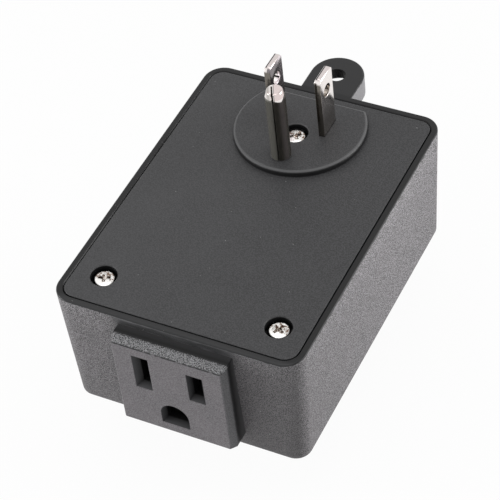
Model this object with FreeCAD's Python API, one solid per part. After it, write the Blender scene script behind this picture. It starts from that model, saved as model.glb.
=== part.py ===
import FreeCAD, Part
import math
import os

Vector = FreeCAD.Vector

# Plug-in fan speed controller.
# Frame: the origin is the middle of the line between the two plug blades, on the face of the
# plug boss that meets the wall outlet. +Z is the way the prongs point, +Y is towards the hanging
# ear, and X runs across. All sizes are in millimetres.

# Case
case_width = 60.7
case_depth = 33.5
socket_end = 69.4
tab_end = 13.2
draft = 1.25
corner_radius = 5.0
wall = 2.4
front_wall = 2.4
rim_width = 1.6
rim_rounding = 0.4
rim_chamfer = 0.2
front_edge_rounding = 0.8

# Hanging ear
ear_radius = 6.65
ear_reach = 19.4
ear_thickness = 6.0
ear_hole_radius = 2.15
ear_sink_radius = 5.7
ear_sink_depth = 3.4
ear_rounding = 0.5

# Back cover and its plug boss
cover_thickness = 2.4
cover_gap = 0.2
cover_rounding = 0.25
boss_height = 1.7
boss_radius = 15.9
boss_centre_y = -1.4
boss_chord_y = 8.5
boss_rounding = 0.8

# Cover screws, their wells and their posts
screw_spread = 21.5
screw_socket_y = -59.5
screw_middle_y = -4.1
well_radius = 3.1
well_depth = 2.5
middle_well_depth = 2.8
well_floor = 1.6
well_wall = 0.85
well_chamfer = 0.22
well_slack = 0.1
screw_head_radius = 2.6
screw_head_height = 1.9
screw_head_rounding = 0.6
screw_radius = 1.45
screw_length = 11.0
screw_slack = 0.25
cross_width = 0.8
cross_length = 3.3
cross_depth = 1.1
post_radius = 3.5
pilot_spare = 1.0

# Plug prongs
blade_pitch = 12.7
blade_width = 6.35
blade_thickness = 1.52
blade_length = 17.0
blade_hole_radius = 1.6
blade_hole_height = 11.9
blade_corner = 0.8
blade_bevel = 0.35
shoulder_width = 9.0
shoulder_height = 2.0
tail_width = 4.0
tail_reach = 13.0
pin_offset = 11.89
pin_radius = 2.4
pin_root_radius = 2.6
pin_length = 20.0
pin_taper = 1.9
pin_tip_radius = 1.8
pin_tip_rounding = 0.3
pin_seam = 0.4
pin_seam_depth = 2.1
pin_collar_radius = 3.2
pin_tail_width = 3.0
pin_tail_thickness = 1.0
prong_slack = 0.05

# Plate that clamps the prongs
retainer_half_width = 13.5
retainer_low_y = -17.0
retainer_high_y = 6.0
retainer_thickness = 4.0
retainer_screw_x = 11.0
retainer_screw_y = -8.0
retainer_screw_radius = 1.1
retainer_screw_bite = 2.9
retainer_head_radius = 2.1
retainer_head_height = 1.4

# Outlet block on the socket end
outlet_x = 0.9
outlet_below_rim = 15.7
face_width = 26.5
face_height = 25.05
outlet_stand = 4.8
bevel_depth = 1.85
bevel_side = 0.77
outlet_corner = 0.35
outlet_rounding = 0.2
body_width = 25.5
body_height = 24.0
body_depth = 22.0
outlet_slack = 0.1
slot_line = 4.95
window_offset = 6.65
neutral_window_width = 4.2
neutral_window_height = 10.4
hot_window_width = 4.1
hot_window_height = 8.6
slot_width = 2.2
neutral_slot_height = 8.4
hot_slot_height = 7.0
lead_in = 1.6
face_wall = 4.2
ground_drop = 12.0
ground_hole_radius = 3.55
ground_hole_flat = 3.1
ground_throat_radius = 2.75
ground_throat_flat = 2.5
chamber_width = 6.4
chamber_height = 11.0
ground_chamber_width = 7.0
ground_chamber_height = 7.5
wing_reach = 0.8
wing_height = 8.0
wing_length = 3.5
cap_thickness = 2.0

# Spring contacts of the outlet
contact_thickness = 0.6
contact_inset = 1.8
contact_flare_length = 3.5
contact_height = 8.0
contact_mouth = 1.8
contact_throat = 0.7
contact_base = 1.5
ground_contact_height = 6.0
ground_contact_mouth = 2.8
ground_contact_throat = 2.3
ground_contact_base = 2.5
contact_tail_reach = 5.4
contact_tail_width = 3.0
contact_tail_thickness = 0.8

# Speed control on the front
knob_y = -31.0
dial_thickness = 0.5
dial_side_margin = 4.85
dial_low_y = -55.0
dial_high_y = 10.0
dial_corner = 3.0
knob_skirt_radius = 17.5
knob_skirt_height = 3.0
knob_grip_radius = 14.5
knob_height = 14.4
knob_lift = 0.6
knob_top = 2.0
knob_hollow_radius = 8.0
knob_hollow_depth = 3.0
knob_edge = 1.2
skirt_edge = 0.6
flute_count = 18
flute_radius = 1.6
flute_depth = 0.7
pointer_width = 1.4
pointer_start = 4.0
pointer_end = 13.0
pointer_depth = 0.5
pointer_rest_angle = -60.0
set_screw_radius = 1.5
set_screw_length = 6.0
set_screw_socket = 0.75
shaft_radius = 3.0
shaft_flat = 2.4
bushing_radius = 3.5
bushing_length = 6.0
bushing_slack = 0.1
shaft_slack = 0.05
washer_radius = 6.0
washer_thickness = 0.5
nut_across = 10.0
nut_height = 2.0
pot_radius = 8.5
pot_depth = 9.5
pot_shaft_depth = 5.8
pot_pin_pitch = 5.0
pot_pin_width = 0.8
pot_lug_reach = 9.2
pot_lug_drop = 3.0
pot_pin_above_board = 1.2

# Three-position rocker switch
switch_dial_margin = 2.0
bezel_knob_gap = 0.5
bezel_width = 15.0
bezel_length = 21.0
bezel_height = 1.6
bezel_corner = 1.0
bezel_rounding = 0.5
switch_width = 13.0
switch_length = 19.0
switch_depth = 14.2
switch_slack = 0.1
switch_hollow_width = 10.6
switch_hollow_length = 16.6
switch_hollow_depth = 8.8
switch_wing = 0.8
switch_wing_length = 6.0
switch_wing_height = 2.5
pivot_depth = 4.8
pivot_radius = 1.2
pivot_reach = 1.0
rocker_width = 10.2
rocker_half_length = 7.8
rocker_top_half_length = 6.8
rocker_height = 6.4
rocker_dip = 0.9
rocker_under = 1.5
rocker_rounding = 0.4
nib_radius = 1.0
nib_length = 1.4
terminal_pitch = 6.2
terminal_width = 4.8
terminal_thickness = 0.8
terminal_reach = 4.5
terminal_bed = 2.5

# Circuit board and its posts
board_side_gap = 2.45
board_knob_offset = 10.0
board_length = 22.0
board_thickness = 1.6
board_hole_inset = 3.0
board_post_radius = 3.0
board_screw_radius = 1.1
board_screw_head_radius = 2.3
board_screw_head_height = 1.6
board_screw_length = 6.5

# Parts on the board, with their distance from its low edge
head_gap = 0.2
row_gap = 0.5
sink_from_edge = 1.5
sink_width = 13.2
sink_length = 17.0
sink_sheet = 1.5
sink_height = 7.0
triac_width = 10.0
triac_tab_length = 15.6
triac_tab_thickness = 1.3
triac_body_length = 9.2
triac_body_thickness = 4.4
triac_end_gap = 0.5
triac_hole_inset = 2.8
triac_screw_radius = 1.45
triac_screw_head_radius = 2.6
triac_screw_head_height = 2.0
triac_nut_radius = 2.9
triac_nut_height = 2.2
leg_pitch = 2.54
leg_width = 0.8
leg_thickness = 0.5
leg_reach = 2.3
choke_from_edge = 7.5
choke_flange_radius = 5.0
choke_core_radius = 2.4
choke_winding_radius = 4.5
choke_height = 10.0
choke_flange = 1.2
filter_from_edge = 15.2
filter_width = 10.5
filter_length = 6.0
filter_height = 9.0
timing_from_edge = 1.5
timing_width = 6.5
timing_length = 3.5
timing_height = 4.6
axial_lift = 0.3
axial_lead_radius = 0.3
axial_lead_reach = 1.2
resistor_radius = 1.15
resistor_length = 6.5
resistor_from_edge = 7.5
resistor_pitch = 2.9
diac_radius = 0.9
diac_length = 3.8
diac_from_edge = 16.0
fuse_radius = 2.0
fuse_length = 6.5
fuse_from_edge = 19.6

# Inner leads
lead_radius = 1.0
lead_bend_share = 0.45
blade_lead_drop = 10.8
lead_setback = 1.2
upper_lead_z = -10.6
lead_pad_inset = 4.5

# Levels and places worked out from the sizes above
rim_z = -boss_height
front_z = rim_z - case_depth
inner_front_z = front_z + front_wall
cover_inner_z = rim_z - cover_thickness
dial_z = front_z - dial_thickness
screw_wells = ((-screw_spread, screw_socket_y, rim_z, rim_z - well_depth),
               (screw_spread, screw_socket_y, rim_z, rim_z - well_depth),
               (0, screw_middle_y, 0, -middle_well_depth))
blade_x = blade_pitch / 2
tail_z = -tail_reach
outlet_z = rim_z - outlet_below_rim
outlet_face_y = -socket_end - outlet_stand
outlet_body_end = -socket_end + body_depth
slot_z = outlet_z + slot_line
ground_z = slot_z - ground_drop
tail_end_y = outlet_body_end + contact_tail_reach
tail_joint_y = tail_end_y - lead_setback
neutral_slot_x = outlet_x - blade_x
hot_slot_x = outlet_x + blade_x
pot_back_z = inner_front_z + pot_depth
board_top_z = pot_back_z + board_thickness
knob_base_z = dial_z - knob_lift
knob_face_z = knob_base_z - knob_height
shaft_end_z = knob_face_z + knob_top
dial_half_width = case_width / 2 - dial_side_margin
switch_x = -dial_half_width + switch_dial_margin + bezel_width / 2
switch_y = knob_y + knob_skirt_radius + bezel_knob_gap + bezel_length / 2
bezel_face_z = dial_z - bezel_height
pivot_z = bezel_face_z + pivot_depth
switch_back_z = dial_z + switch_depth
terminal_end_z = switch_back_z + terminal_reach
board_half_width = case_width / 2 - wall - board_side_gap
board_low_y = knob_y - board_knob_offset
board_high_y = board_low_y + board_length
board_hole_x = board_half_width - board_hole_inset
board_axes = [(x, y) for x in (-board_hole_x, board_hole_x)
              for y in (board_low_y + board_hole_inset, board_high_y - board_hole_inset)]
head_clear_x = board_hole_x - board_screw_head_radius - head_gap
sink_low_x = -head_clear_x
sink_high_x = sink_low_x + sink_width
sink_low_y = board_low_y + sink_from_edge
row_low_x = sink_high_x + row_gap
row_x = row_low_x + resistor_length / 2 + axial_lead_reach + axial_lead_radius
choke_x = head_clear_x - choke_flange_radius
choke_y = board_low_y + choke_from_edge
triac_x = (sink_low_x + sink_high_x) / 2
triac_low_y = sink_low_y + triac_end_gap
triac_screw_y = triac_low_y + triac_hole_inset
overshoot = 1.0


def box(x_low, x_high, y_low, y_high, z_low, z_high):
    corner = Vector(x_low, y_low, z_low)
    return Part.makeBox(x_high - x_low, y_high - y_low, z_high - z_low, corner)


def rod(radius, x, y, z_low, z_high):
    return Part.makeCylinder(radius, z_high - z_low, Vector(x, y, z_low))


def rod_x(radius, x_low, x_high, y, z):
    return Part.makeCylinder(radius, x_high - x_low, Vector(x_low, y, z), Vector(1, 0, 0))


def polygon(points):
    return Part.makePolygon(list(points) + [points[0]])


def extruded(points, direction):
    return Part.Face(polygon(points)).extrude(direction)


def cut_all(solid, tools):
    for tool in tools:
        solid = solid.cut(tool)
    return solid


def fuse_all(solids):
    whole = solids[0]
    for solid in solids[1:]:
        whole = whole.fuse(solid)
    return whole.removeSplitter()


def save(name, solids):
    shape = solids[0] if len(solids) == 1 else Part.makeCompound(solids)
    expected = len(solids)
    if len(shape.Solids) != expected or not shape.isValid():
        raise ValueError(name + " is not made of " + str(expected) + " valid solids")
    shape.exportStep("parts/" + name + ".step")
    print(name, expected, round(shape.Volume, 1))


def rounded_rectangle(x_low, x_high, y_low, y_high, radius, z):
    """Wire of a rectangle with round corners, level at height z."""
    share = radius * (1 - math.sqrt(0.5))
    corners = (
        (Vector(x_high, y_low + radius, z), Vector(x_high - share, y_low + share, z),
         Vector(x_high - radius, y_low, z)),
        (Vector(x_low + radius, y_low, z), Vector(x_low + share, y_low + share, z),
         Vector(x_low, y_low + radius, z)),
        (Vector(x_low, y_high - radius, z), Vector(x_low + share, y_high - share, z),
         Vector(x_low + radius, y_high, z)),
        (Vector(x_high - radius, y_high, z), Vector(x_high - share, y_high - share, z),
         Vector(x_high, y_high - radius, z)),
    )
    edges = []
    for index, (start, middle, end) in enumerate(corners):
        edges.append(Part.Arc(start, middle, end).toShape())
        edges.append(Part.LineSegment(end, corners[(index + 1) % 4][0]).toShape())
    return Part.Wire(edges)


def case_outline(z, inset):
    """Outline of the case at height z, drawn in by the draft and by inset."""
    drawn_in = draft * (rim_z - z) / case_depth + inset
    half_width = case_width / 2 - drawn_in
    return rounded_rectangle(-half_width, half_width, -socket_end + drawn_in,
                             tab_end - drawn_in, corner_radius - drawn_in, z)


def case_block(z_low, z_high, inset):
    return Part.makeLoft([case_outline(z_low, inset), case_outline(z_high, inset)], True, True)


def rim_outline(z, inset):
    half_width = case_width / 2 - inset
    return rounded_rectangle(-half_width, half_width, -socket_end + inset, tab_end - inset,
                             corner_radius - inset, z)


def rim_block(z_low, z_high, inset):
    """Straight-sided block inside the rim."""
    return Part.Face(rim_outline(z_low, inset)).extrude(Vector(0, 0, z_high - z_low))


def outlet_body(slack):
    return box(outlet_x - body_width / 2 - slack, outlet_x + body_width / 2 + slack,
               outlet_face_y + bevel_depth, outlet_body_end,
               outlet_z - body_height / 2 - slack, outlet_z + body_height / 2 + slack)


def switch_block(slack, z_low, z_high):
    return box(switch_x - switch_width / 2 - slack, switch_x + switch_width / 2 + slack,
               switch_y - switch_length / 2 - slack, switch_y + switch_length / 2 + slack,
               z_low, z_high)


def level_edges(solid, z):
    return [edge for edge in solid.Edges
            if abs(edge.BoundBox.ZMin - z) < 1e-6 and abs(edge.BoundBox.ZMax - z) < 1e-6]


def ear():
    """Ear that hangs the unit on the screw of the outlet plate."""
    plate_low = rim_z - ear_thickness
    root_y = tab_end - rim_width
    left_root = Vector(-ear_radius, root_y, plate_low)
    left = Vector(-ear_radius, ear_reach, plate_low)
    right = Vector(ear_radius, ear_reach, plate_low)
    right_root = Vector(ear_radius, root_y, plate_low)
    round_end = Part.Arc(left, Vector(0, ear_reach + ear_radius, plate_low), right)
    lines = [Part.LineSegment(a, b).toShape()
             for a, b in ((right, right_root), (right_root, left_root), (left_root, left))]
    plate = Part.Face(Part.Wire([round_end.toShape()] + lines)).extrude(Vector(0, 0, ear_thickness))
    free_edges = [edge for z in (plate_low, rim_z) for edge in level_edges(plate, z)
                  if edge.BoundBox.YLength > ear_rounding]
    return plate.makeFillet(ear_rounding, free_edges)


def case_shell():
    outside = case_block(front_z, rim_z, 0)
    outside = outside.makeFillet(front_edge_rounding, level_edges(outside, front_z))
    outside = outside.makeFillet(rim_rounding, level_edges(outside, rim_z))
    shell = outside.cut(case_block(inner_front_z, rim_z + overshoot, wall))
    shell = shell.fuse(ear())
    shell = shell.cut(rim_block(cover_inner_z, rim_z + overshoot, rim_width))
    shell = shell.cut(Part.makeLoft([rim_outline(rim_z - rim_chamfer, rim_width),
                                     rim_outline(rim_z, rim_width - rim_chamfer)], True, True))
    shell = shell.cut(rod(ear_hole_radius, 0, ear_reach, front_z, rim_z + overshoot))
    sink_top = rim_z - ear_thickness + ear_sink_depth
    shell = shell.cut(rod(ear_sink_radius, 0, ear_reach, front_z, sink_top))
    posts = [rod(post_radius, x, y, front_z + front_wall / 2, seat_z - well_floor)
             for x, y, mouth_z, seat_z in screw_wells]
    posts += [rod(board_post_radius, x, y, front_z + front_wall / 2, pot_back_z)
              for x, y in board_axes]
    shell = fuse_all([shell] + posts)
    holes = [rod(screw_radius, x, y, seat_z - screw_length - pilot_spare, seat_z - well_floor)
             for x, y, mouth_z, seat_z in screw_wells]
    holes += [rod(board_screw_radius, x, y, board_top_z - board_screw_length - pilot_spare,
                  pot_back_z)
              for x, y in board_axes]
    holes.append(rod(bushing_radius + bushing_slack, 0, knob_y, front_z, inner_front_z))
    holes.append(switch_block(switch_slack, front_z - overshoot, inner_front_z))
    holes.append(outlet_body(outlet_slack))
    return cut_all(shell, holes)


def plug_boss():
    boss = rod(boss_radius, 0, boss_centre_y, rim_z, 0)
    beyond_chord = box(-case_width, case_width, boss_chord_y, boss_chord_y + case_width,
                       rim_z - overshoot, overshoot)
    boss = boss.cut(beyond_chord)
    return boss.makeFillet(boss_rounding, level_edges(boss, 0))


def back_cover():
    cover = rim_block(cover_inner_z, rim_z, rim_width + cover_gap)
    cover = cover.makeFillet(cover_rounding, level_edges(cover, rim_z))
    cover = cover.fuse(plug_boss())
    wells = [rod(well_radius + well_wall, x, y, seat_z - well_floor, cover_inner_z)
             for x, y, mouth_z, seat_z in screw_wells]
    cover = fuse_all([cover] + wells)
    holes = []
    for x, y, mouth_z, seat_z in screw_wells:
        holes.append(rod(well_radius, x, y, seat_z, overshoot))
        holes.append(rod(screw_radius + screw_slack, x, y, seat_z - well_floor, seat_z))
        holes.append(Part.makeCone(well_radius, well_radius + well_chamfer, well_chamfer,
                                   Vector(x, y, mouth_z - well_chamfer)))
    half_thickness = blade_thickness / 2 + prong_slack
    half_width = blade_width / 2 + prong_slack
    for side in (-1, 1):
        x = side * blade_x
        holes.append(box(x - half_thickness, x + half_thickness, -half_width, half_width,
                         cover_inner_z, overshoot))
        holes.append(rod(retainer_screw_radius, side * retainer_screw_x, retainer_screw_y,
                         cover_inner_z, cover_inner_z + retainer_screw_bite))
    holes.append(rod(pin_root_radius + prong_slack, 0, -pin_offset, cover_inner_z, overshoot))
    return cut_all(cover, holes)


def cross_screw(x, y, seat_z, shank_length):
    """Pan-head screw with a cross recess, seated at seat_z and pointing down."""
    head_top = seat_z + screw_head_height
    head = rod(screw_head_radius, x, y, seat_z, head_top)
    head = head.makeFillet(screw_head_rounding, level_edges(head, head_top))
    screw = head.fuse(rod(screw_radius, x, y, seat_z - shank_length, seat_z))
    half_long = cross_length / 2
    half_wide = cross_width / 2
    floor = head_top - cross_depth
    slots = [box(x - half_long, x + half_long, y - half_wide, y + half_wide, floor,
                 head_top + overshoot),
             box(x - half_wide, x + half_wide, y - half_long, y + half_long, floor,
                 head_top + overshoot)]
    return cut_all(screw.removeSplitter(), slots)


def cover_screws():
    return [cross_screw(x, y, seat_z, screw_length) for x, y, mouth_z, seat_z in screw_wells]


def blade(x):
    """Flat blade with a shoulder behind the cover and a solder tail."""
    half = blade_width / 2
    outline = [(-half, cover_inner_z), (half, cover_inner_z), (half, blade_length - blade_corner),
               (half - blade_corner, blade_length), (blade_corner - half, blade_length),
               (-half, blade_length - blade_corner)]
    low_x = x - blade_thickness / 2
    high_x = x + blade_thickness / 2
    thick = Vector(blade_thickness, 0, 0)
    prong = extruded([Vector(low_x, y, z) for y, z in outline], thick)
    prong = prong.cut(rod_x(blade_hole_radius, low_x, high_x, 0, blade_hole_height))
    tip = [edge for edge in level_edges(prong, blade_length) if edge.BoundBox.YLength > 1]
    prong = prong.makeChamfer(blade_bevel, tip)
    shoulder_low = cover_inner_z - shoulder_height
    shoulder = box(low_x, high_x, -shoulder_width / 2, shoulder_width / 2, shoulder_low,
                   cover_inner_z)
    tail = box(low_x, high_x, -tail_width / 2, tail_width / 2, tail_z, shoulder_low)
    return fuse_all([prong, shoulder, tail])


def ground_pin():
    """Folded round pin: its seam faces the socket end, and its root is upset in the cover."""
    y = -pin_offset
    root = rod(pin_root_radius, 0, y, cover_inner_z, 0)
    straight = rod(pin_radius, 0, y, 0, pin_length - pin_taper)
    taper = Part.makeCone(pin_radius, pin_tip_radius, pin_taper,
                          Vector(0, y, pin_length - pin_taper))
    taper = taper.makeFillet(pin_tip_rounding, level_edges(taper, pin_length))
    seam = box(-pin_seam / 2, pin_seam / 2, y - pin_radius - overshoot,
               y - pin_radius + pin_seam_depth, boss_rounding, pin_length + overshoot)
    shoulder_low = cover_inner_z - shoulder_height
    collar = rod(pin_collar_radius, 0, y, shoulder_low, cover_inner_z)
    tail = box(-pin_tail_width / 2, pin_tail_width / 2, y - pin_tail_thickness / 2,
               y + pin_tail_thickness / 2, tail_z, shoulder_low)
    return fuse_all([root, straight, taper, collar, tail]).cut(seam)


def plug_retainer():
    low = cover_inner_z - retainer_thickness
    pocket = cover_inner_z - shoulder_height
    plate = box(-retainer_half_width, retainer_half_width, retainer_low_y, retainer_high_y, low,
                cover_inner_z)
    holes = [rod(well_radius + well_wall + well_slack, 0, screw_middle_y, low, cover_inner_z)]
    half_thickness = blade_thickness / 2 + prong_slack
    half_shoulder = shoulder_width / 2 + prong_slack
    half_tail = tail_width / 2 + prong_slack
    for side in (-1, 1):
        x = side * blade_x
        holes.append(box(x - half_thickness, x + half_thickness, -half_shoulder, half_shoulder,
                         pocket, cover_inner_z))
        holes.append(box(x - half_thickness, x + half_thickness, -half_tail, half_tail, low,
                         pocket))
        holes.append(rod(retainer_screw_radius + screw_slack, side * retainer_screw_x,
                         retainer_screw_y, low, cover_inner_z))
    holes.append(rod(pin_collar_radius + prong_slack, 0, -pin_offset, pocket, cover_inner_z))
    half_tail = pin_tail_width / 2 + prong_slack
    half_thickness = pin_tail_thickness / 2 + prong_slack
    holes.append(box(-half_tail, half_tail, -pin_offset - half_thickness,
                     -pin_offset + half_thickness, low, pocket))
    return cut_all(plate, holes)


def plain_screw(x, y, seat_z, head_radius, head_height, shank_radius, tip_z):
    """Screw along Z, seated at seat_z, with its tip on the other side of the seat."""
    outward = 1 if tip_z < seat_z else -1
    head_end = seat_z + outward * head_height
    head = rod(head_radius, x, y, min(seat_z, head_end), max(seat_z, head_end))
    shank = rod(shank_radius, x, y, min(seat_z, tip_z), max(seat_z, tip_z))
    return fuse_all([head, shank])


def retainer_screws():
    seat = cover_inner_z - retainer_thickness
    tip = cover_inner_z + retainer_screw_bite
    return [plain_screw(side * retainer_screw_x, retainer_screw_y, seat, retainer_head_radius,
                        retainer_head_height, retainer_screw_radius, tip)
            for side in (-1, 1)]


def upright_rectangle(x, z, width, height, y):
    return polygon([Vector(x - width / 2, y, z - height / 2), Vector(x + width / 2, y, z - height / 2),
                    Vector(x + width / 2, y, z + height / 2), Vector(x - width / 2, y, z + height / 2)])


def window(window_x, slot_x, window_width, window_height, slot_height):
    """Sloped lead-in and the slot behind it."""
    outer = upright_rectangle(window_x, slot_z, window_width, window_height, outlet_face_y)
    inner = upright_rectangle(slot_x, slot_z, slot_width, slot_height, outlet_face_y + lead_in)
    slope = Part.makeLoft([outer, inner], True, True)
    slot = box(slot_x - slot_width / 2, slot_x + slot_width / 2, outlet_face_y + lead_in,
               outlet_face_y + face_wall, slot_z - slot_height / 2, slot_z + slot_height / 2)
    return [slope, slot]


def d_outline(radius, flat, y):
    """D shape with its flat side towards the front of the case."""
    left = Vector(outlet_x - radius, y, ground_z)
    right = Vector(outlet_x + radius, y, ground_z)
    low_left = Vector(outlet_x - radius, y, ground_z - flat)
    low_right = Vector(outlet_x + radius, y, ground_z - flat)
    arc = Part.Arc(left, Vector(outlet_x, y, ground_z + radius), right).toShape()
    lines = [Part.LineSegment(a, b).toShape()
             for a, b in ((right, low_right), (low_right, low_left), (low_left, left))]
    return Part.Wire([arc] + lines)


def ground_window():
    outer = d_outline(ground_hole_radius, ground_hole_flat, outlet_face_y)
    inner = d_outline(ground_throat_radius, ground_throat_flat, outlet_face_y + lead_in)
    slope = Part.makeLoft([outer, inner], True, True)
    throat = Part.Face(inner).extrude(Vector(0, face_wall - lead_in, 0))
    return [slope, throat]


def chamber(x, z, width, height):
    return box(x - width / 2, x + width / 2, outlet_face_y + face_wall, outlet_body_end,
               z - height / 2, z + height / 2)


def outlet_outline(side, depth):
    """Outline of the outlet block, standing depth behind its face."""
    half_width = face_width / 2 + side
    half_height = face_height / 2 + side
    return rounded_rectangle(outlet_x - half_width, outlet_x + half_width,
                             outlet_z - half_height, outlet_z + half_height,
                             outlet_corner, -outlet_face_y - depth)


def outlet_block():
    """Bevelled face and straight neck, drawn level and then stood up on the end wall."""
    neck_depth = outlet_stand + 2 * draft
    neck = Part.Face(outlet_outline(bevel_side, neck_depth)).extrude(
        Vector(0, 0, neck_depth - bevel_depth))
    bevel = Part.makeLoft([outlet_outline(bevel_side, bevel_depth), outlet_outline(0, 0)],
                          True, True)
    block = fuse_all([neck, bevel])
    block = block.makeFillet(outlet_rounding, level_edges(block, -outlet_face_y)
                             + level_edges(block, -outlet_face_y - bevel_depth))
    block.rotate(Vector(0, 0, 0), Vector(1, 0, 0), 90)
    return block.cut(case_block(front_z, rim_z, 0))


def outlet_housing():
    wing_low = outlet_z - wing_height / 2
    wing_y = -socket_end + wall + draft * (rim_z - wing_low) / case_depth + outlet_slack
    wings = [box(outlet_x - body_width / 2 - wing_reach, outlet_x + body_width / 2 + wing_reach,
                 wing_y, wing_y + wing_length, wing_low, wing_low + wing_height)]
    housing = fuse_all([outlet_block(), outlet_body(0)] + wings)
    holes = window(outlet_x - window_offset, neutral_slot_x, neutral_window_width,
                   neutral_window_height, neutral_slot_height)
    holes += window(outlet_x + window_offset, hot_slot_x, hot_window_width, hot_window_height,
                    hot_slot_height)
    holes += ground_window()
    holes.append(chamber(neutral_slot_x, slot_z, chamber_width, chamber_height))
    holes.append(chamber(hot_slot_x, slot_z, chamber_width, chamber_height))
    holes.append(chamber(outlet_x, ground_z, ground_chamber_width, ground_chamber_height))
    return cut_all(housing, holes)


def contact_tail(x, z, upright):
    """Tail of a contact, past the cap of the outlet block."""
    half_x = contact_tail_thickness / 2 if upright else contact_tail_width / 2
    half_z = contact_tail_width / 2 if upright else contact_tail_thickness / 2
    return box(x - half_x, x + half_x, outlet_body_end, tail_end_y, z - half_z, z + half_z)


def contact(x, z, height, mouth, throat, base, upright):
    """Two spring leaves on a bridge, folded from one strip."""
    mouth_y = outlet_face_y + face_wall + contact_inset
    throat_y = mouth_y + contact_flare_length
    bridge_y = outlet_body_end - contact_thickness
    inner = [(mouth, mouth_y), (throat, throat_y), (base, bridge_y)]
    outer = [(mouth + contact_thickness, mouth_y), (throat + contact_thickness, throat_y),
             (base + contact_thickness, outlet_body_end)]
    points = [(-half, y) for half, y in inner]
    points += [(half, y) for half, y in reversed(inner)]
    points += [(half, y) for half, y in outer]
    points += [(-half, y) for half, y in reversed(outer)]
    strip = extruded([Vector(x + dx, y, z - height / 2) for dx, y in points],
                     Vector(0, 0, height))
    return fuse_all([strip, contact_tail(x, z, upright)])


def neutral_contact():
    return contact(neutral_slot_x, slot_z, contact_height, contact_mouth, contact_throat,
                   contact_base, True)


def hot_contact():
    return contact(hot_slot_x, slot_z, contact_height, contact_mouth, contact_throat,
                   contact_base, True)


def ground_contact():
    return contact(outlet_x, ground_z, ground_contact_height, ground_contact_mouth,
                   ground_contact_throat, ground_contact_base, False)


def outlet_cap():
    cap = box(outlet_x - body_width / 2, outlet_x + body_width / 2, outlet_body_end,
              outlet_body_end + cap_thickness, outlet_z - body_height / 2,
              outlet_z + body_height / 2)
    return cut_all(cap, [contact_tail(neutral_slot_x, slot_z, True),
                         contact_tail(hot_slot_x, slot_z, True),
                         contact_tail(outlet_x, ground_z, False)])


def dial_plate():
    outline = rounded_rectangle(-dial_half_width, dial_half_width, dial_low_y, dial_high_y,
                                dial_corner, dial_z)
    plate = Part.Face(outline).extrude(Vector(0, 0, dial_thickness))
    return cut_all(plate, [rod(bushing_radius + bushing_slack, 0, knob_y, dial_z, front_z),
                           switch_block(switch_slack, dial_z, front_z)])


def shaft_outline(z_low, z_high):
    """Round shaft with a flat on its +X side."""
    round_part = rod(shaft_radius, 0, knob_y, z_low, z_high)
    beyond_flat = box(shaft_flat, shaft_radius + overshoot, knob_y - 2 * shaft_radius,
                      knob_y + 2 * shaft_radius, z_low, z_high)
    return round_part.cut(beyond_flat)


def potentiometer_shaft():
    flat_top = knob_base_z - knob_hollow_depth
    turned = rod(shaft_radius, 0, knob_y, flat_top, inner_front_z + pot_shaft_depth)
    return fuse_all([turned, shaft_outline(shaft_end_z, flat_top)])


def pointer():
    bar = box(pointer_start, pointer_end, -pointer_width / 2, pointer_width / 2, knob_face_z,
              knob_face_z + pointer_depth)
    bar.rotate(Vector(0, 0, 0), Vector(0, 0, 1), pointer_rest_angle)
    bar.translate(Vector(0, knob_y, 0))
    return bar


def speed_knob():
    skirt_z = knob_base_z - knob_skirt_height
    skirt = rod(knob_skirt_radius, 0, knob_y, skirt_z, knob_base_z)
    skirt = skirt.makeFillet(skirt_edge, level_edges(skirt, skirt_z))
    grip = rod(knob_grip_radius, 0, knob_y, knob_face_z, skirt_z)
    grip = grip.makeFillet(knob_edge, level_edges(grip, knob_face_z))
    reach = knob_grip_radius + flute_radius - flute_depth
    flutes = []
    for index in range(flute_count):
        angle = 2 * math.pi * (index + 0.5) / flute_count
        flutes.append(rod(flute_radius, reach * math.cos(angle), knob_y + reach * math.sin(angle),
                          knob_face_z, skirt_z))
    grip = grip.cut(Part.makeCompound(flutes))
    knob = fuse_all([skirt, grip])
    screw_z = (skirt_z + shaft_end_z) / 2
    return cut_all(knob, [
        rod(knob_hollow_radius, 0, knob_y, knob_base_z - knob_hollow_depth, knob_base_z),
        shaft_outline(shaft_end_z, knob_base_z - knob_hollow_depth),
        rod_x(set_screw_radius, shaft_flat, knob_grip_radius + overshoot, knob_y, screw_z),
        pointer(),
    ])


def knob_set_screw():
    screw_z = (knob_base_z - knob_skirt_height + shaft_end_z) / 2
    end_x = shaft_flat + set_screw_length
    screw = rod_x(set_screw_radius, shaft_flat, end_x, knob_y, screw_z)
    return screw.cut(rod_x(set_screw_socket, end_x - set_screw_radius, end_x, knob_y, screw_z))


def potentiometer_bushing():
    low = inner_front_z - bushing_length
    return rod(bushing_radius, 0, knob_y, low, inner_front_z).cut(
        rod(shaft_radius + shaft_slack, 0, knob_y, low, inner_front_z))


def potentiometer_body():
    can = rod(pot_radius, 0, knob_y, inner_front_z, pot_back_z)
    half_pin = pot_pin_width / 2
    lug_y = knob_y - pot_lug_reach
    lug_half = pot_pin_pitch + pot_pin_width
    pieces = [can, box(-lug_half, lug_half, lug_y - half_pin, knob_y - pot_radius / 2,
                       pot_back_z - pot_lug_drop, pot_back_z)]
    for step in (-1, 0, 1):
        x = step * pot_pin_pitch
        pieces.append(box(x - half_pin, x + half_pin, lug_y - half_pin, lug_y + half_pin,
                          pot_back_z, board_top_z + pot_pin_above_board))
    return fuse_all(pieces).cut(
        rod(shaft_radius + shaft_slack, 0, knob_y, inner_front_z,
            inner_front_z + pot_shaft_depth + shaft_slack))


def potentiometer_washer():
    low = dial_z - washer_thickness
    return rod(washer_radius, 0, knob_y, low, dial_z).cut(
        rod(bushing_radius, 0, knob_y, low, dial_z))


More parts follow.
